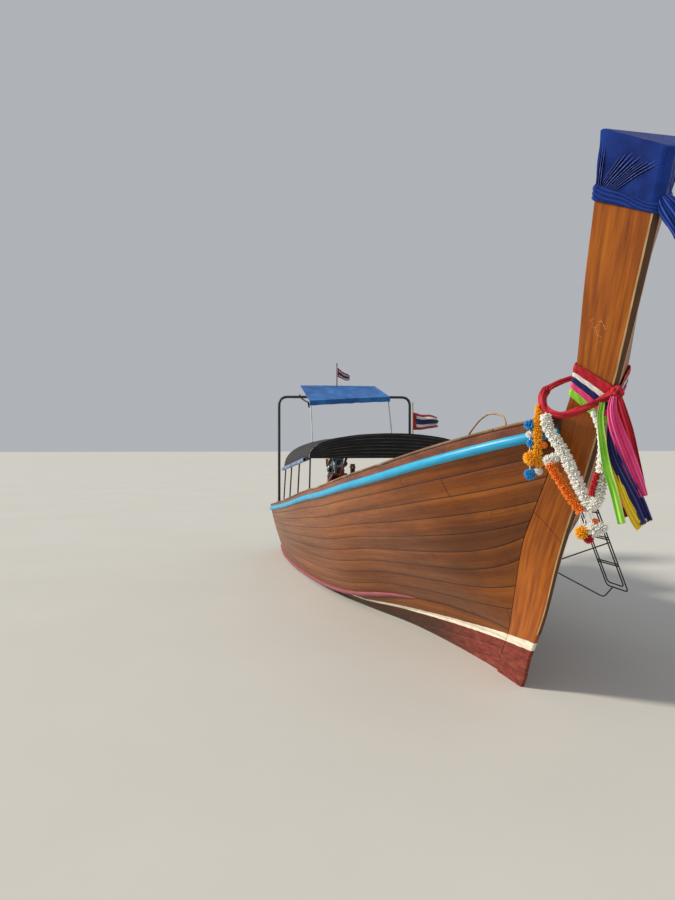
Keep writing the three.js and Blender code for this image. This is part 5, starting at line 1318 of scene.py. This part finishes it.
# The cloths' ends hang from the knot down the port side of the front edge in long pleated
# strips that overlap: dark red behind, then pink, navy over yellow, and lime by itself.
TAILS = {
    "red": ([[1366, 12, 2450, 60], [1368, -10, 2360, 80], [1372, -64, 2200, 84], [1374, -118, 2020, 70],
             [1376, -160, 1880, 50], [1378, -190, 1765, 30]], 4, 0.008, "red_cloth", []),
    "pink": ([[1386, 50, 2440, 40], [1392, 62, 2345, 70], [1398, 36, 2230, 104], [1400, -24, 2080, 116],
              [1398, -98, 1910, 100], [1394, -170, 1765, 62]], 5, 0.011, "pink_cloth", ["ribbon_tail_pink"]),
    "lime": ([[1300, 74, 2425, 36], [1326, 110, 2300, 46], [1345, 108, 2150, 52], [1347, 74, 1960, 54],
              [1350, 20, 1790, 52], [1350, -38, 1578, 54]], 2, 0.007, "lime_cloth", ["ribbon_tail_lime"]),
    "navy": ([[1378, 40, 2440, 30], [1380, 74, 2200, 44], [1380, 40, 2040, 70], [1380, -48, 1880, 84],
              [1378, -140, 1730, 98], [1374, -214, 1585, 96]], 4, 0.009, "navy_cloth", ["ribbon_tail_navy"]),
    "yellow": ([[1362, 76, 2180, 30], [1360, 58, 2060, 34], [1360, 14, 1930, 36], [1360, -60, 1740, 52],
                [1358, -140, 1610, 84], [1356, -196, 1562, 112]], 3, 0.006, "marigold_flowers", []),
    "rose": ([[1348, 92, 2180, 36], [1346, 66, 2060, 40], [1346, 20, 1940, 52], [1348, -28, 1800, 58],
              [1348, -70, 1690, 54]], 3, 0.007, "pink_cloth", []),
    "maroon": ([[1332, 88, 2150, 30], [1332, 40, 1960, 40], [1334, -12, 1800, 46], [1334, -70, 1618, 44]],
               2, 0.006, "red_cloth", []),
}
ribbon_looks["yellow"] = satin("yellow_ribbon", ("d9a410", "f7d02a"))
ribbon_looks["rose"] = ribbon_looks["pink"]
ribbon_looks["maroon"] = satin("maroon_ribbon", ("560f17", "851a24"))
for order, (name, (route, pleats, depth, slot, nodes_for)) in enumerate(TAILS.items()):
    sheet, fold = strip(route, pleats, depth, (0.25, 1, 0), (90, 46), 1.3 * order)
    made = piece(f"ribbon_end_{name}", [skin(sheet)], ribbon_looks[name], stands_for=nodes_for,
                 marks={"fold": fold})
    thicken(made, CLOTH)

# Flower garlands hang over the sash: a thick rope of white jasmine buds doubled below the
# post, threads of marigold, and blue, orange and white pompons, with a tasselled pendant.
ROPES = {
    "garland_white": ([[1008, 336, 2335], [1012, 322, 2240], [1065, 235, 2064], [1120, 165, 1866],
                       [1180, 95, 1690], [1232, 66, 1755], [1255, 58, 1950], [1262, 70, 2200],
                       [1243, 112, 2345]],
                      0.0455, 0.0075, 13, "white"),
    "garland_marigold": ([[932, 338, 2405], [930, 360, 2280], [935, 364, 2140], [935, 366, 2005]],
                         0.032, 0.006, 10, "marigold"),
    "garland_orange": ([[1018, 322, 1975], [1035, 296, 1934], [1090, 215, 1770], [1150, 150, 1645]],
                       0.031, 0.0055, 9, "orange"),
    "garland_crimson": ([[1228, 116, 1765], [1252, 110, 1840], [1270, 98, 1920]], 0.021, 0.006, 9, "crimson"),
}
PETALS = {"white": ("white_flowers", ("e4dfd2", "fffdf8")),
          "marigold": ("marigold_flowers", ("f08c06", "ffc01e")),
          "orange": ("orange_flowers", ("f06a10", "ff9428")),
          "blue": ("blue_flowers", ("0a74bc", "2fa6e8")), "crimson": ("red_cloth", ("a81420", "e22a38"))}
# pompons: s, p, z, radius in mm and colour
POMPONS = ((893, 402, 2262, 46, "blue"), (897, 388, 2128, 40, "blue"), (897, 404, 1900, 46, "blue"),
           (893, 404, 2192, 30, "white"), (905, 398, 2020, 62, "marigold"), (930, 350, 1990, 44, "marigold"),
           (985, 300, 2002, 50, "white"), (1010, 270, 2025, 42, "white"), (925, 350, 1925, 34, "white"),
           (960, 330, 2115, 30, "orange"), (1165, 148, 1500, 54, "marigold"), (1190, 80, 1520, 58, "white"),
           (1210, 26, 1535, 48, "white"), (1180, 105, 1456, 38, "crimson"), (1192, 62, 1578, 26, "orange"))
bud_looks = {name: mottled(f"{name}_buds", tones, 55.0, 3.0, roughness=0.65, subsurface_weight=0.1)
             for name, (_, tones) in PETALS.items()}


def buds(base, direction, length, width, sides=5):
    """Many closed buds at once: rings of five points about each bud's own direction, wide at
    a third of its length and drawn in at both ends."""
    direction = unit(direction)
    side = unit(np.cross(direction, ANY_WAY))
    along, wide = np.array([0, 0.35, 0.78, 1]), np.array([0.35, 1, 0.75, 0.15])
    circle = wheel(round_turn(sides), side, np.cross(direction, side))
    length, width = np.broadcast_to(length, len(base)), np.broadcast_to(width, len(base))
    points = base[:, None, None] + direction[:, None, None] * (length[:, None] * along)[:, :, None, None] + (
        circle[:, None] * (width[:, None] * wide)[:, :, None, None])
    count = 4 * sides
    i, j = np.meshgrid(np.arange(3), np.arange(sides), indexing="ij")
    after = (j + 1) % sides
    quads = np.stack([i * sides + j, i * sides + after, (i + 1) * sides + after, (i + 1) * sides + j], -1)
    quads = quads.reshape(-1, 4)
    starts = np.arange(len(base)) * count
    faces = (quads[None] + starts[:, None, None]).reshape(-1, 4).tolist()
    lids = np.concatenate([np.arange(sides)[::-1], 3 * sides + np.arange(sides)]).reshape(2, sides)
    faces += (lids[None] + starts[:, None, None]).reshape(-1, sides).tolist()
    total = 4 * len(quads) * len(base) + 2 * sides * len(base)
    return points.reshape(-1, 3), faces, np.zeros((total, 2))


def bud_rope(route, radius, spacing, ring, seed, taper=1.0):
    """Buds threaded in rings round a route, each ring turned at random, leaning along it."""
    rng = np.random.default_rng(seed)
    path = ship(spline(np.array(route) / 1000, np.linspace(0, len(route) - 1, 600)))
    length = running(path[:, None], 0)
    count = int(length[-1] / spacing)
    at = np.linspace(0, length[-1], count)
    middle = np.stack([np.interp(at, length, path[:, k]) for k in range(3)], -1)
    tangent, side, up = square_to(middle)
    turn = rng.uniform(0, 2 * math.pi, (count, 1)) + round_turn(ring)
    turn = turn + rng.normal(0, 0.12, turn.shape)
    out = wheel(turn, side, up)
    lean = out + 0.45 * rng.normal(0.3, 0.5, turn.shape)[..., None] * tangent[:, None]
    knobs = 1 + 0.16 * np.sin(at / 0.042 * 2 * math.pi)[:, None, None]
    knobs *= np.interp(at / length[-1], [0, 0.66, 0.8, 1], [1, 1, taper, taper])[:, None, None]
    base = middle[:, None] + out * radius * 0.3 * taper
    size = radius * 0.85 * knobs[..., 0] * rng.uniform(0.85, 1.08, turn.shape)
    core = tube(path[::12], radius * 0.42 * taper, 10)
    return [core, buds(base.reshape(-1, 3), lean.reshape(-1, 3), size.ravel(), radius * 0.17)]


def pompon(centre, radius, count, seed):
    """Buds standing out from a point in evenly spread directions, on a golden spiral."""
    k = np.arange(count) + 0.5
    height, turn = 1 - 2 * k / count, k * math.pi * (3 - math.sqrt(5))
    level = np.sqrt(1 - height**2)
    out = np.stack([level * np.cos(turn), level * np.sin(turn), height * 0.9], -1)
    out += np.random.default_rng(seed).normal(0, 0.12, out.shape)
    return buds(centre + out * radius * 0.2, out, radius * 0.8, radius * 0.13)


for order, (name, (route, radius, spacing, ring, colour)) in enumerate(ROPES.items()):
    taper = 0.45 if name == "garland_white" else 1.0
    piece(f"{name}_buds", bud_rope(route, radius, spacing, ring, 20 + order, taper), bud_looks[colour],
          stands_for=[name] if name in nodes else [], sharp=180)
for colour, (slot, _) in PETALS.items():
    balls = [pompon(ship(np.array(ball[:3]) / 1000), ball[3] / 1000, 130, order)
             for order, ball in enumerate(POMPONS) if ball[4] == colour]
    piece(f"pompons_{colour}", balls, bud_looks[colour], sharp=180,
          stands_for=["garland_blue"] if colour == "blue" else [])
threads = [([893, 402, 2300], [893, 404, 2100], [897, 402, 1900]), ([905, 398, 2080], [905, 398, 2020]),
           ([1160, 150, 1650], [1160, 160, 1580], [1165, 148, 1500]),
           ([1175, 120, 1650], [1172, 130, 1580], [1170, 140, 1500]),
           ([1180, 105, 1650], [1185, 90, 1590], [1190, 80, 1520]),
           ([1185, 90, 1650], [1196, 62, 1590], [1205, 34, 1535]),
           ([1182, 100, 1650], [1190, 84, 1560], [1180, 105, 1460])]
strings = [tube(ship(spline(np.array(points) / 1000, np.linspace(0, len(points) - 1, 12))), 0.0035, 8)
           for points in threads]
piece("garland_threads", strings, bud_looks["white"])

# The motor hangs in a swivel yoke on the stern post: a forked steel casting whose pin turns
# in the post. Its cradle is welded of angle and tube, painted red, with a long tiller ahead.
PIVOT = np.array([STEM_X - 8.05, 0.0, 1.33])
SHAFT_SLOPE = math.radians(19.5)
UPWARD, FORWARD = (0, 0, 1), (1, 0, 0)
BOTH = (-1, 1)
yoke_look = old_paint("yoke_steel", ("33363a", "5c6065"), "6a3a20", 0.5, 0.5, 0.55)
cradle_look = old_paint("cradle_paint", ("7d1f1b", "a5342a"), "4e2a1a", 0.5, 0.1, 0.57)
dress(yoke_look, "swivel_yoke")
dress(cradle_look, "engine_cradle")


def motor(part):
    """A part drawn forward along the shaft and up from the trunnion, in its place aboard."""
    points, faces, corners = part
    x, y, z = points.T
    cosine, sine = math.cos(SHAFT_SLOPE), math.sin(SHAFT_SLOPE)
    return np.stack([x * cosine - z * sine, y, x * sine + z * cosine], -1) + PIVOT, faces, corners


def aboard(name, parts, look, body="motor", stands_for=()):
    """A piece of the motor, from parts drawn along the shaft."""
    return piece(name, [motor(part) for part in parts], look, body, stands_for)


def barrel(start, end, radius, edge=0.003, sides=24):
    """A round bar with both rims bevelled."""
    start, end = np.asarray(start, float), np.asarray(end, float)
    way = unit(end - start)
    path = [start, start + way * edge, end - way * edge, end]
    return tube(path, [radius - edge, radius, radius, radius - edge], sides)


def bolt(place, way, radius=0.008, high=0.007):
    """A hexagon head on its washer."""
    place, way = np.asarray(place, float), np.asarray(way, float)
    return [tube([place, place + way * 0.0015], radius * 1.5, 16),
            barrel(place + way * 0.001, place + way * high, radius, 0.0012, 6)]


YOKE_BOLTS = {"x": 0.042, "y": 0.078, "z": 1.2519}
yoke_parts = []
for x in (-YOKE_BOLTS["x"], YOKE_BOLTS["x"]):
    for y in (-YOKE_BOLTS["y"], YOKE_BOLTS["y"]):
        yoke_parts += bolt(PIVOT * (1, 1, 0) + (x, y, YOKE_BOLTS["z"]), UPWARD)
piece("yoke_bolts", yoke_parts, yoke_look, body="yoke")
fittings = []
for side in BOTH:
    fittings.append(tube([(0, side * 0.1045, 0), (0, side * 0.1072, 0)], 0.0215, 24))
    fittings.append(tube([(-0.02, side * 0.1095, 0.004), (0.02, side * 0.1095, -0.004)], 0.0016, 8))
    for x in (-0.1, 0.0, 0.52):
        for dx in (-0.01, 0.01):
            fittings += bolt((x + dx * 0.2, side * 0.13 + dx, 0.0393), (0, 0, -1), 0.006, 0.006)
for x, z in ((0.56, 0.043), (0.68, 0.0575), (0.95, 0.1195)):
    fittings.append(tube([(x - 0.008, 0, z - 0.003), (x + 0.008, 0, z + 0.001)], 0.0195, 20))
aboard("cradle_fittings", fittings, yoke_look)
rubber_look = mottled("grip_tape", ("0f0f10", "2c2b2a"), 60.0, 4.0, 0.7, roughness=0.75)
grip_way = np.linspace(0, 1, 90)[:, None]
grip_line = np.array([1.1, 0, 0.151]) * (1 - grip_way) + np.array([1.238, 0, 0.1836]) * grip_way
grip_size = 0.0228 + 0.0007 * np.abs(np.sin(grip_way[:, 0] * math.pi * 13))
grip_size[[0, -1]] = 0.0215
rod = np.array([[1.0, 0.0185, 0.152], [0.9, 0.0195, 0.12], [0.7, 0.02, 0.07], [0.53, 0.02, 0.043]])
throttle = [tube(bend([(1.075, 0.012, 0.172), (1.06, 0.014, 0.19), rod[0]], 0.01), 0.003, 8),
            tube(spline(rod, np.linspace(0, 3, 24)), 0.0028, 8)]
crossbar = [barrel((1.225, -0.13, 0.194), (1.225, 0.13, 0.194), 0.0125)]
crossbar += [barrel((1.225, side * 0.1, 0.194), (1.225, side * 0.135, 0.194), 0.0155) for side in BOTH]
aboard("tiller_grip", [tube(grip_line, grip_size, 24), *crossbar], rubber_look)
aboard("throttle_rod", throttle, yoke_look)

# The engine is a small four-cylinder diesel out of a pick-up truck: a cast block and head
# with ribbed sides, oil pan, belt-driven pump and alternator, manifolds and an air filter.


def slab(outline, low, high, edge=0.004, axis=0):
    """A plate with its rims bevelled: an outline in the other two axes, carried from low to
    high and drawn in a little at both ends."""
    outline = np.asarray(outline, float)
    spokes = outline - outline.mean(0)
    inner = outline - spokes * edge / np.linalg.norm(spokes, axis=1).mean()
    rings = [(inner, low), (outline, low + edge), (outline, high - edge), (inner, high)]
    grid = np.stack([np.insert(ring, axis, level, axis=1) for ring, level in rings])
    return skin(grid, wrap=True, capped=True)


def circle(y, z, radius):
    """Points round a pulley, as y and z."""
    turn = round_turn(40)
    return np.column_stack([y + radius * np.cos(turn), z + radius * np.sin(turn)])


def arched(half, low, middle, sides=24):
    """A half circle on straight sides."""
    turn = np.linspace(0, math.pi, sides)
    top = np.column_stack([half * np.cos(turn), middle + half * np.sin(turn)])
    return np.vstack([top, [[-half, low], [half, low]]])


PULLEYS = ((0.0, 0.15, 0.06), (0.0, 0.318, 0.048), (0.14, 0.3, 0.03))
CYLINDERS = (0.05, 0.16, 0.27, 0.38)
PUMP_OUTLETS = (0.17, 0.21, 0.25, 0.29)
# half width, foot and middle of the flywheel's bell and of the timing cover
BELL = (0.13, 0.084, 0.2)
TIMING = (0.098, 0.092, 0.262)
# y and z of the two manifolds
INLET = (0.13, 0.462)
EXHAUST = (-0.133, 0.414)


def castings():
    """Block, head, pan rail and bell, ribs, core plugs, and feet with their webs."""
    parts = [box((-0.055, -0.105, 0.165), (0.47, 0.105, 0.362), 0.012),
             box((-0.05, -0.115, 0.364), (0.465, 0.11, 0.44), 0.008),
             box((-0.052, -0.128, 0.158), (0.468, 0.128, 0.174), 0.004),
             slab(arched(*BELL), -0.0895, -0.055)]
    parts += [box((x - 0.006, -0.119, 0.19), (x + 0.006, 0.119, 0.345)) for x in np.linspace(0.0, 0.42, 9)]
    parts += [barrel((x, side * 0.1, 0.262), (x, side * 0.111, 0.262), 0.019)
              for x in (0.078, 0.184, 0.29) for side in BOTH]
    for low, high in (((0.095, 0.0802), (0.155, 0.098)), ((0.098, 0.09), (0.112, 0.2))):
        for x in (0.03, 0.36):
            for side in BOTH:
                y = sorted((side * low[0], side * high[0]))
                parts.append(box((x, y[0], low[1]), (x + 0.06, y[1], high[1]), 0.004))
    return parts


def covers():
    """Rocker and timing covers, alternator with its pin and bracket, injection pump and its
    outlets, inlet manifold with a branch to each cylinder, and starter."""
    parts = [box((0.0, -0.078, 0.438), (0.452, 0.072, 0.494), 0.018),
             slab(arched(*TIMING), 0.468, 0.496),
             barrel((0.385, 0.085, 0.245), (0.49, 0.085, 0.245), 0.004, 0.001),
             box((0.4, 0.085, 0.285), (0.42, 0.13, 0.315)),
             barrel((0.395, 0.14, 0.3), (0.492, 0.14, 0.3), 0.05, 0.012, 32),
             box((0.14, -0.178, 0.235), (0.33, -0.112, 0.305), 0.01)]
    parts += [barrel((x, -0.145, 0.3), (x, -0.145, 0.322), 0.009, 0.002, 12) for x in PUMP_OUTLETS]
    parts += [tube([(0.0, *INLET), (0.43, *INLET)], 0.023, 20),
              barrel((-0.045, 0.152, 0.2), (0.14, 0.152, 0.2), 0.04, 0.006, 28)]
    return parts + [tube(bend([(x, 0.1, 0.402), (x, 0.128, 0.41), (x, 0.13, 0.45)], 0.016), 0.015, 14)
                    for x in CYLINDERS]


def filters():
    """Oil pan, air filter with its nut and its elbow, filler cap, oil filter, the starter's
    switch, and the pulleys, each two flanges on a hub."""
    parts = [box((-0.035, -0.12, 0.0802), (0.44, 0.12, 0.16), 0.02),
             barrel((0.12, 0.02, 0.492), (0.12, 0.02, 0.553), 0.088, 0.01, 40),
             barrel((0.12, 0.02, 0.548), (0.12, 0.02, 0.559), 0.02),
             barrel((0.385, 0.0, 0.49), (0.385, 0.0, 0.516), 0.022, 0.004),
             tube(bend([(0.01, *INLET), (-0.012, 0.12, 0.505), (0.06, 0.07, 0.525)], 0.03), 0.018, 16),
             barrel((0.365, -0.1, 0.205), (0.365, -0.192, 0.205), 0.035, 0.006, 32),
             barrel((-0.03, 0.165, 0.252), (0.07, 0.165, 0.252), 0.021)]
    for y, z, radius in PULLEYS:
        parts += [slab(circle(y, z, radius), x, x + 0.006, 0.002) for x in (0.4975, 0.5145)]
    return parts + [slab(circle(y, z, radius - 0.009), 0.494, 0.518, 0.002) for y, z, radius in PULLEYS]


def exhaust():
    """Manifold, upright stub, and a branch and a flange for each cylinder."""
    parts = [tube([(0.0, *EXHAUST), (0.43, *EXHAUST)], 0.024, 20),
             tube(bend([(0.005, *EXHAUST), (-0.002, -0.134, 0.47), (-0.002, -0.13, 0.556)], 0.03), 0.022, 20)]
    parts += [tube([(x, -0.1, 0.404), (x, *EXHAUST)], 0.018, 14) for x in CYLINDERS]
    return parts + [box((x - 0.022, -0.122, 0.386), (x + 0.022, -0.11, 0.428)) for x in CYLINDERS]


def fasteners():
    """Bolts round the pan, rocker cover, bell, timing cover and feet, injectors with their
    pipes, dipstick, and the pulleys' nuts."""
    parts = []
    for x in np.linspace(-0.03, 0.44, 8):
        for side in BOTH:
            parts += bolt((x, side * 0.1235, 0.1735), UPWARD, 0.0055, 0.006)
    for x in np.linspace(0.02, 0.43, 5):
        for y in (-0.072, 0.066):
            parts += bolt((x, y, 0.4545), (0, np.sign(y), 0), 0.0055, 0.008)
    rims = ((-0.056, BELL, 0.006, 0.009), (0.4955, TIMING, 0.0045, 0.006))
    for angle in np.radians(np.arange(0, 181, 30)):
        for x, (half, _, middle), radius, high in rims:
            reach = half - 0.01
            place = (x, reach * math.cos(angle), middle + reach * math.sin(angle))
            parts += bolt(place, FORWARD, radius, high)
    for x in (0.045, 0.075, 0.375, 0.405):
        for side in BOTH:
            parts += bolt((x, side * 0.138, 0.0978), UPWARD, 0.007, 0.009)
    for k, (outlet, x) in enumerate(zip(PUMP_OUTLETS, CYLINDERS)):
        pipe = [(outlet, -0.145, 0.32), (outlet, -0.145, 0.36 + 0.01 * k), (x, -0.17, 0.45 + 0.006 * k),
                (x, -0.085, 0.5), (x, -0.06, 0.49)]
        parts.append(tube(bend(pipe, 0.02), 0.0032, 8))
        parts += bolt((x, -0.06, 0.488), UPWARD, 0.008, 0.014)
    dipstick = bend([(0.3, 0.11, 0.2), (0.3, 0.128, 0.28), (0.31, 0.118, 0.385)], 0.02)
    handle = [(0.31, 0.118, 0.382), (0.312, 0.116, 0.41), (0.318, 0.112, 0.425), (0.31, 0.11, 0.43)]
    parts += [tube(dipstick, 0.0045, 8), tube(handle, 0.003, 8)]
    for y, z, _ in PULLEYS:
        parts += bolt((0.5175, y, z), FORWARD, 0.008, 0.009)
    return parts


def belt():
    """A belt round the pulleys: in each direction it lies on the pulley that reaches farthest
    that way."""
    turn = round_turn(180)
    away = np.column_stack([np.cos(turn), np.sin(turn)])
    reach = np.stack([away @ np.array([y, z]) + radius for y, z, radius in PULLEYS])
    chosen = np.array(PULLEYS)[reach.argmax(0)]
    section = ((0.503, -0.008), (0.5145, -0.008), (0.5155, 0.001), (0.502, 0.001), (0.503, -0.008))
    return [skin(np.stack([np.column_stack([np.full(180, x), chosen[:, :2] + away * (chosen[:, 2:] + lift)])
                           for x, lift in section]), wrap=True)]


cast_look = old_paint("engine_paint", ("3b4a50", "5f7178"), "4a3424", 0.45, 0.25, 0.58)
alloy_look = old_paint("engine_alloy", ("6f7172", "9b9c9b"), "3c352d", 0.4, 0.8, 0.6)
rusty_look = old_paint("exhaust_rust", ("4a2a1b", "74462c"), "8f5b35", 0.85, 0.1, 0.52)
black_look = old_paint("engine_black", ("121315", "26282a"), "4b4038", 0.55, 0.0, 0.62)
aboard("engine_castings", castings(), cast_look, stands_for=["engine_block"])
aboard("engine_covers", covers(), alloy_look)
aboard("engine_filters", filters(), black_look)
aboard("engine_exhaust", exhaust(), rusty_look)
aboard("engine_bolts", fasteners(), yoke_look)
aboard("engine_belt", belt(), rubber_look)

# The propeller shaft runs in a steel tube, bolted to the engine's bell and held straight
# by a rod above it; a small fin stands over the end. The bronze screw has three blades.
tube_look = old_paint("shaft_steel", ("4c5054", "7c8185"), "6d3c22", 0.45, 0.6, 0.54)
SHAFT_Z = 0.15
COLLARS = ((-0.62, 0.02, 0.0285), (-1.5, 0.05, 0.03), (-2.5, 0.02, 0.0285), (-3.39, 0.02, 0.0275),
           (-3.6, 0.075, 0.0285))


def on_shaft(*places):
    """Points of the shaft's middle line."""
    return [(x, 0, SHAFT_Z) for x in places]


shaft = [tube(on_shaft(-0.0904, -0.1, -0.101, -0.135, -0.17), [0.06, 0.062, 0.052, 0.046, 0.03], 32),
         tube(on_shaft(-0.15, -3.64), 0.0238, 24),
         tube(bend([(-0.14, 0, 0.195), (-0.16, 0, 0.33), (-1.5, 0, 0.165)], 0.06, 12), 0.012, 16)]
shaft += [barrel(*on_shaft(x - length / 2, x + length / 2), size) for x, length, size in COLLARS]
fin = [(-3.555, 0.115), (-3.56, -0.02), (-3.552, -0.037), (-3.535, -0.04), (-3.47, -0.036),
       (-3.455, -0.025), (-3.405, 0.1), (-3.402, 0.125)]
shaft.append(slab(fin, -0.004, 0.004, 0.0015, axis=1))
shaft += [barrel((x, 0, low), (x, 0, high), 0.005, 0.001, 12)
          for x, low, high in ((-0.5, 0.168, 0.182), (-3.6, 0.174, 0.186))]
for angle in np.radians(np.arange(30, 390, 60)):
    place = (-0.1005, 0.055 * math.cos(angle), SHAFT_Z + 0.055 * math.sin(angle))
    shaft += bolt(place, (-1, 0, 0), 0.005, 0.006)
aboard("shaft_and_stay", shaft, tube_look, stands_for=["shaft_tube"])
MEAN_PITCH = math.radians(35)
BLADES_X = -3.6856
# half chord and distance from the hub's middle
BLADE = np.array([[18, 20], [46, 45], [57, 75], [58, 100], [47, 130], [29, 148], [8, 154.5]]) / 1000
look = Look("bronze", metallic=0.95)
tarnish = look.noise(look.place, 26.0, 6.0, 0.65)
colour = look.ramp(tarnish, [(0.34, "3c3a22"), (0.5, "8a6a35"), (0.7, "c59b56")])
screw_look = look.finish(colour, look.between(tarnish, 0.35, 0.65, 0.6, 0.3), look.bump(tarnish, 0.0006))


def blade(turn):
    """Sections square to a spoke: each a lens of the outline's chord, thin at the tip, set
    at a pitch angle that falls with the distance from the hub."""
    row = spline(BLADE, np.linspace(0, len(BLADE) - 1, 30))
    chord, out = row[:, 0][:, None], row[:, 1][:, None]
    about = round_turn(36)[None, :]
    across = chord * np.cos(about)
    thick = (0.0042 - 0.022 * (out - 0.02)) * np.sin(about) * (1 - 0.25 * np.cos(about))
    pitch = MEAN_PITCH + 0.55 * (np.arctan(0.063 / out) - MEAN_PITCH)
    axial = -across * np.sin(pitch) + thick * np.cos(pitch)
    sideways = across * np.cos(pitch) + thick * np.sin(pitch)
    y = out * math.cos(turn) + sideways * math.sin(turn)
    z = out * math.sin(turn) - sideways * math.cos(turn)
    return skin(np.stack([axial + BLADES_X, y, z + SHAFT_Z], -1), wrap=True, capped=True)


screw = [blade(math.pi / 2 + k * 2 * math.pi / 3) for k in range(3)]
screw += [tube(on_shaft(-3.6406, -3.6436, -3.66, -3.7, -3.706), [0.031, 0.034, 0.034, 0.031, 0.026], 40),
          barrel(*on_shaft(-3.704, -3.722), 0.022, 0.002, 6), barrel(*on_shaft(-3.72, -3.7304), 0.012, 0.002),
          tube([(-3.7265, -0.014, SHAFT_Z), (-3.7265, 0.014, SHAFT_Z)], 0.0015, 8)]
aboard("propeller_screw", screw, screw_look, "screw", ["propeller"])
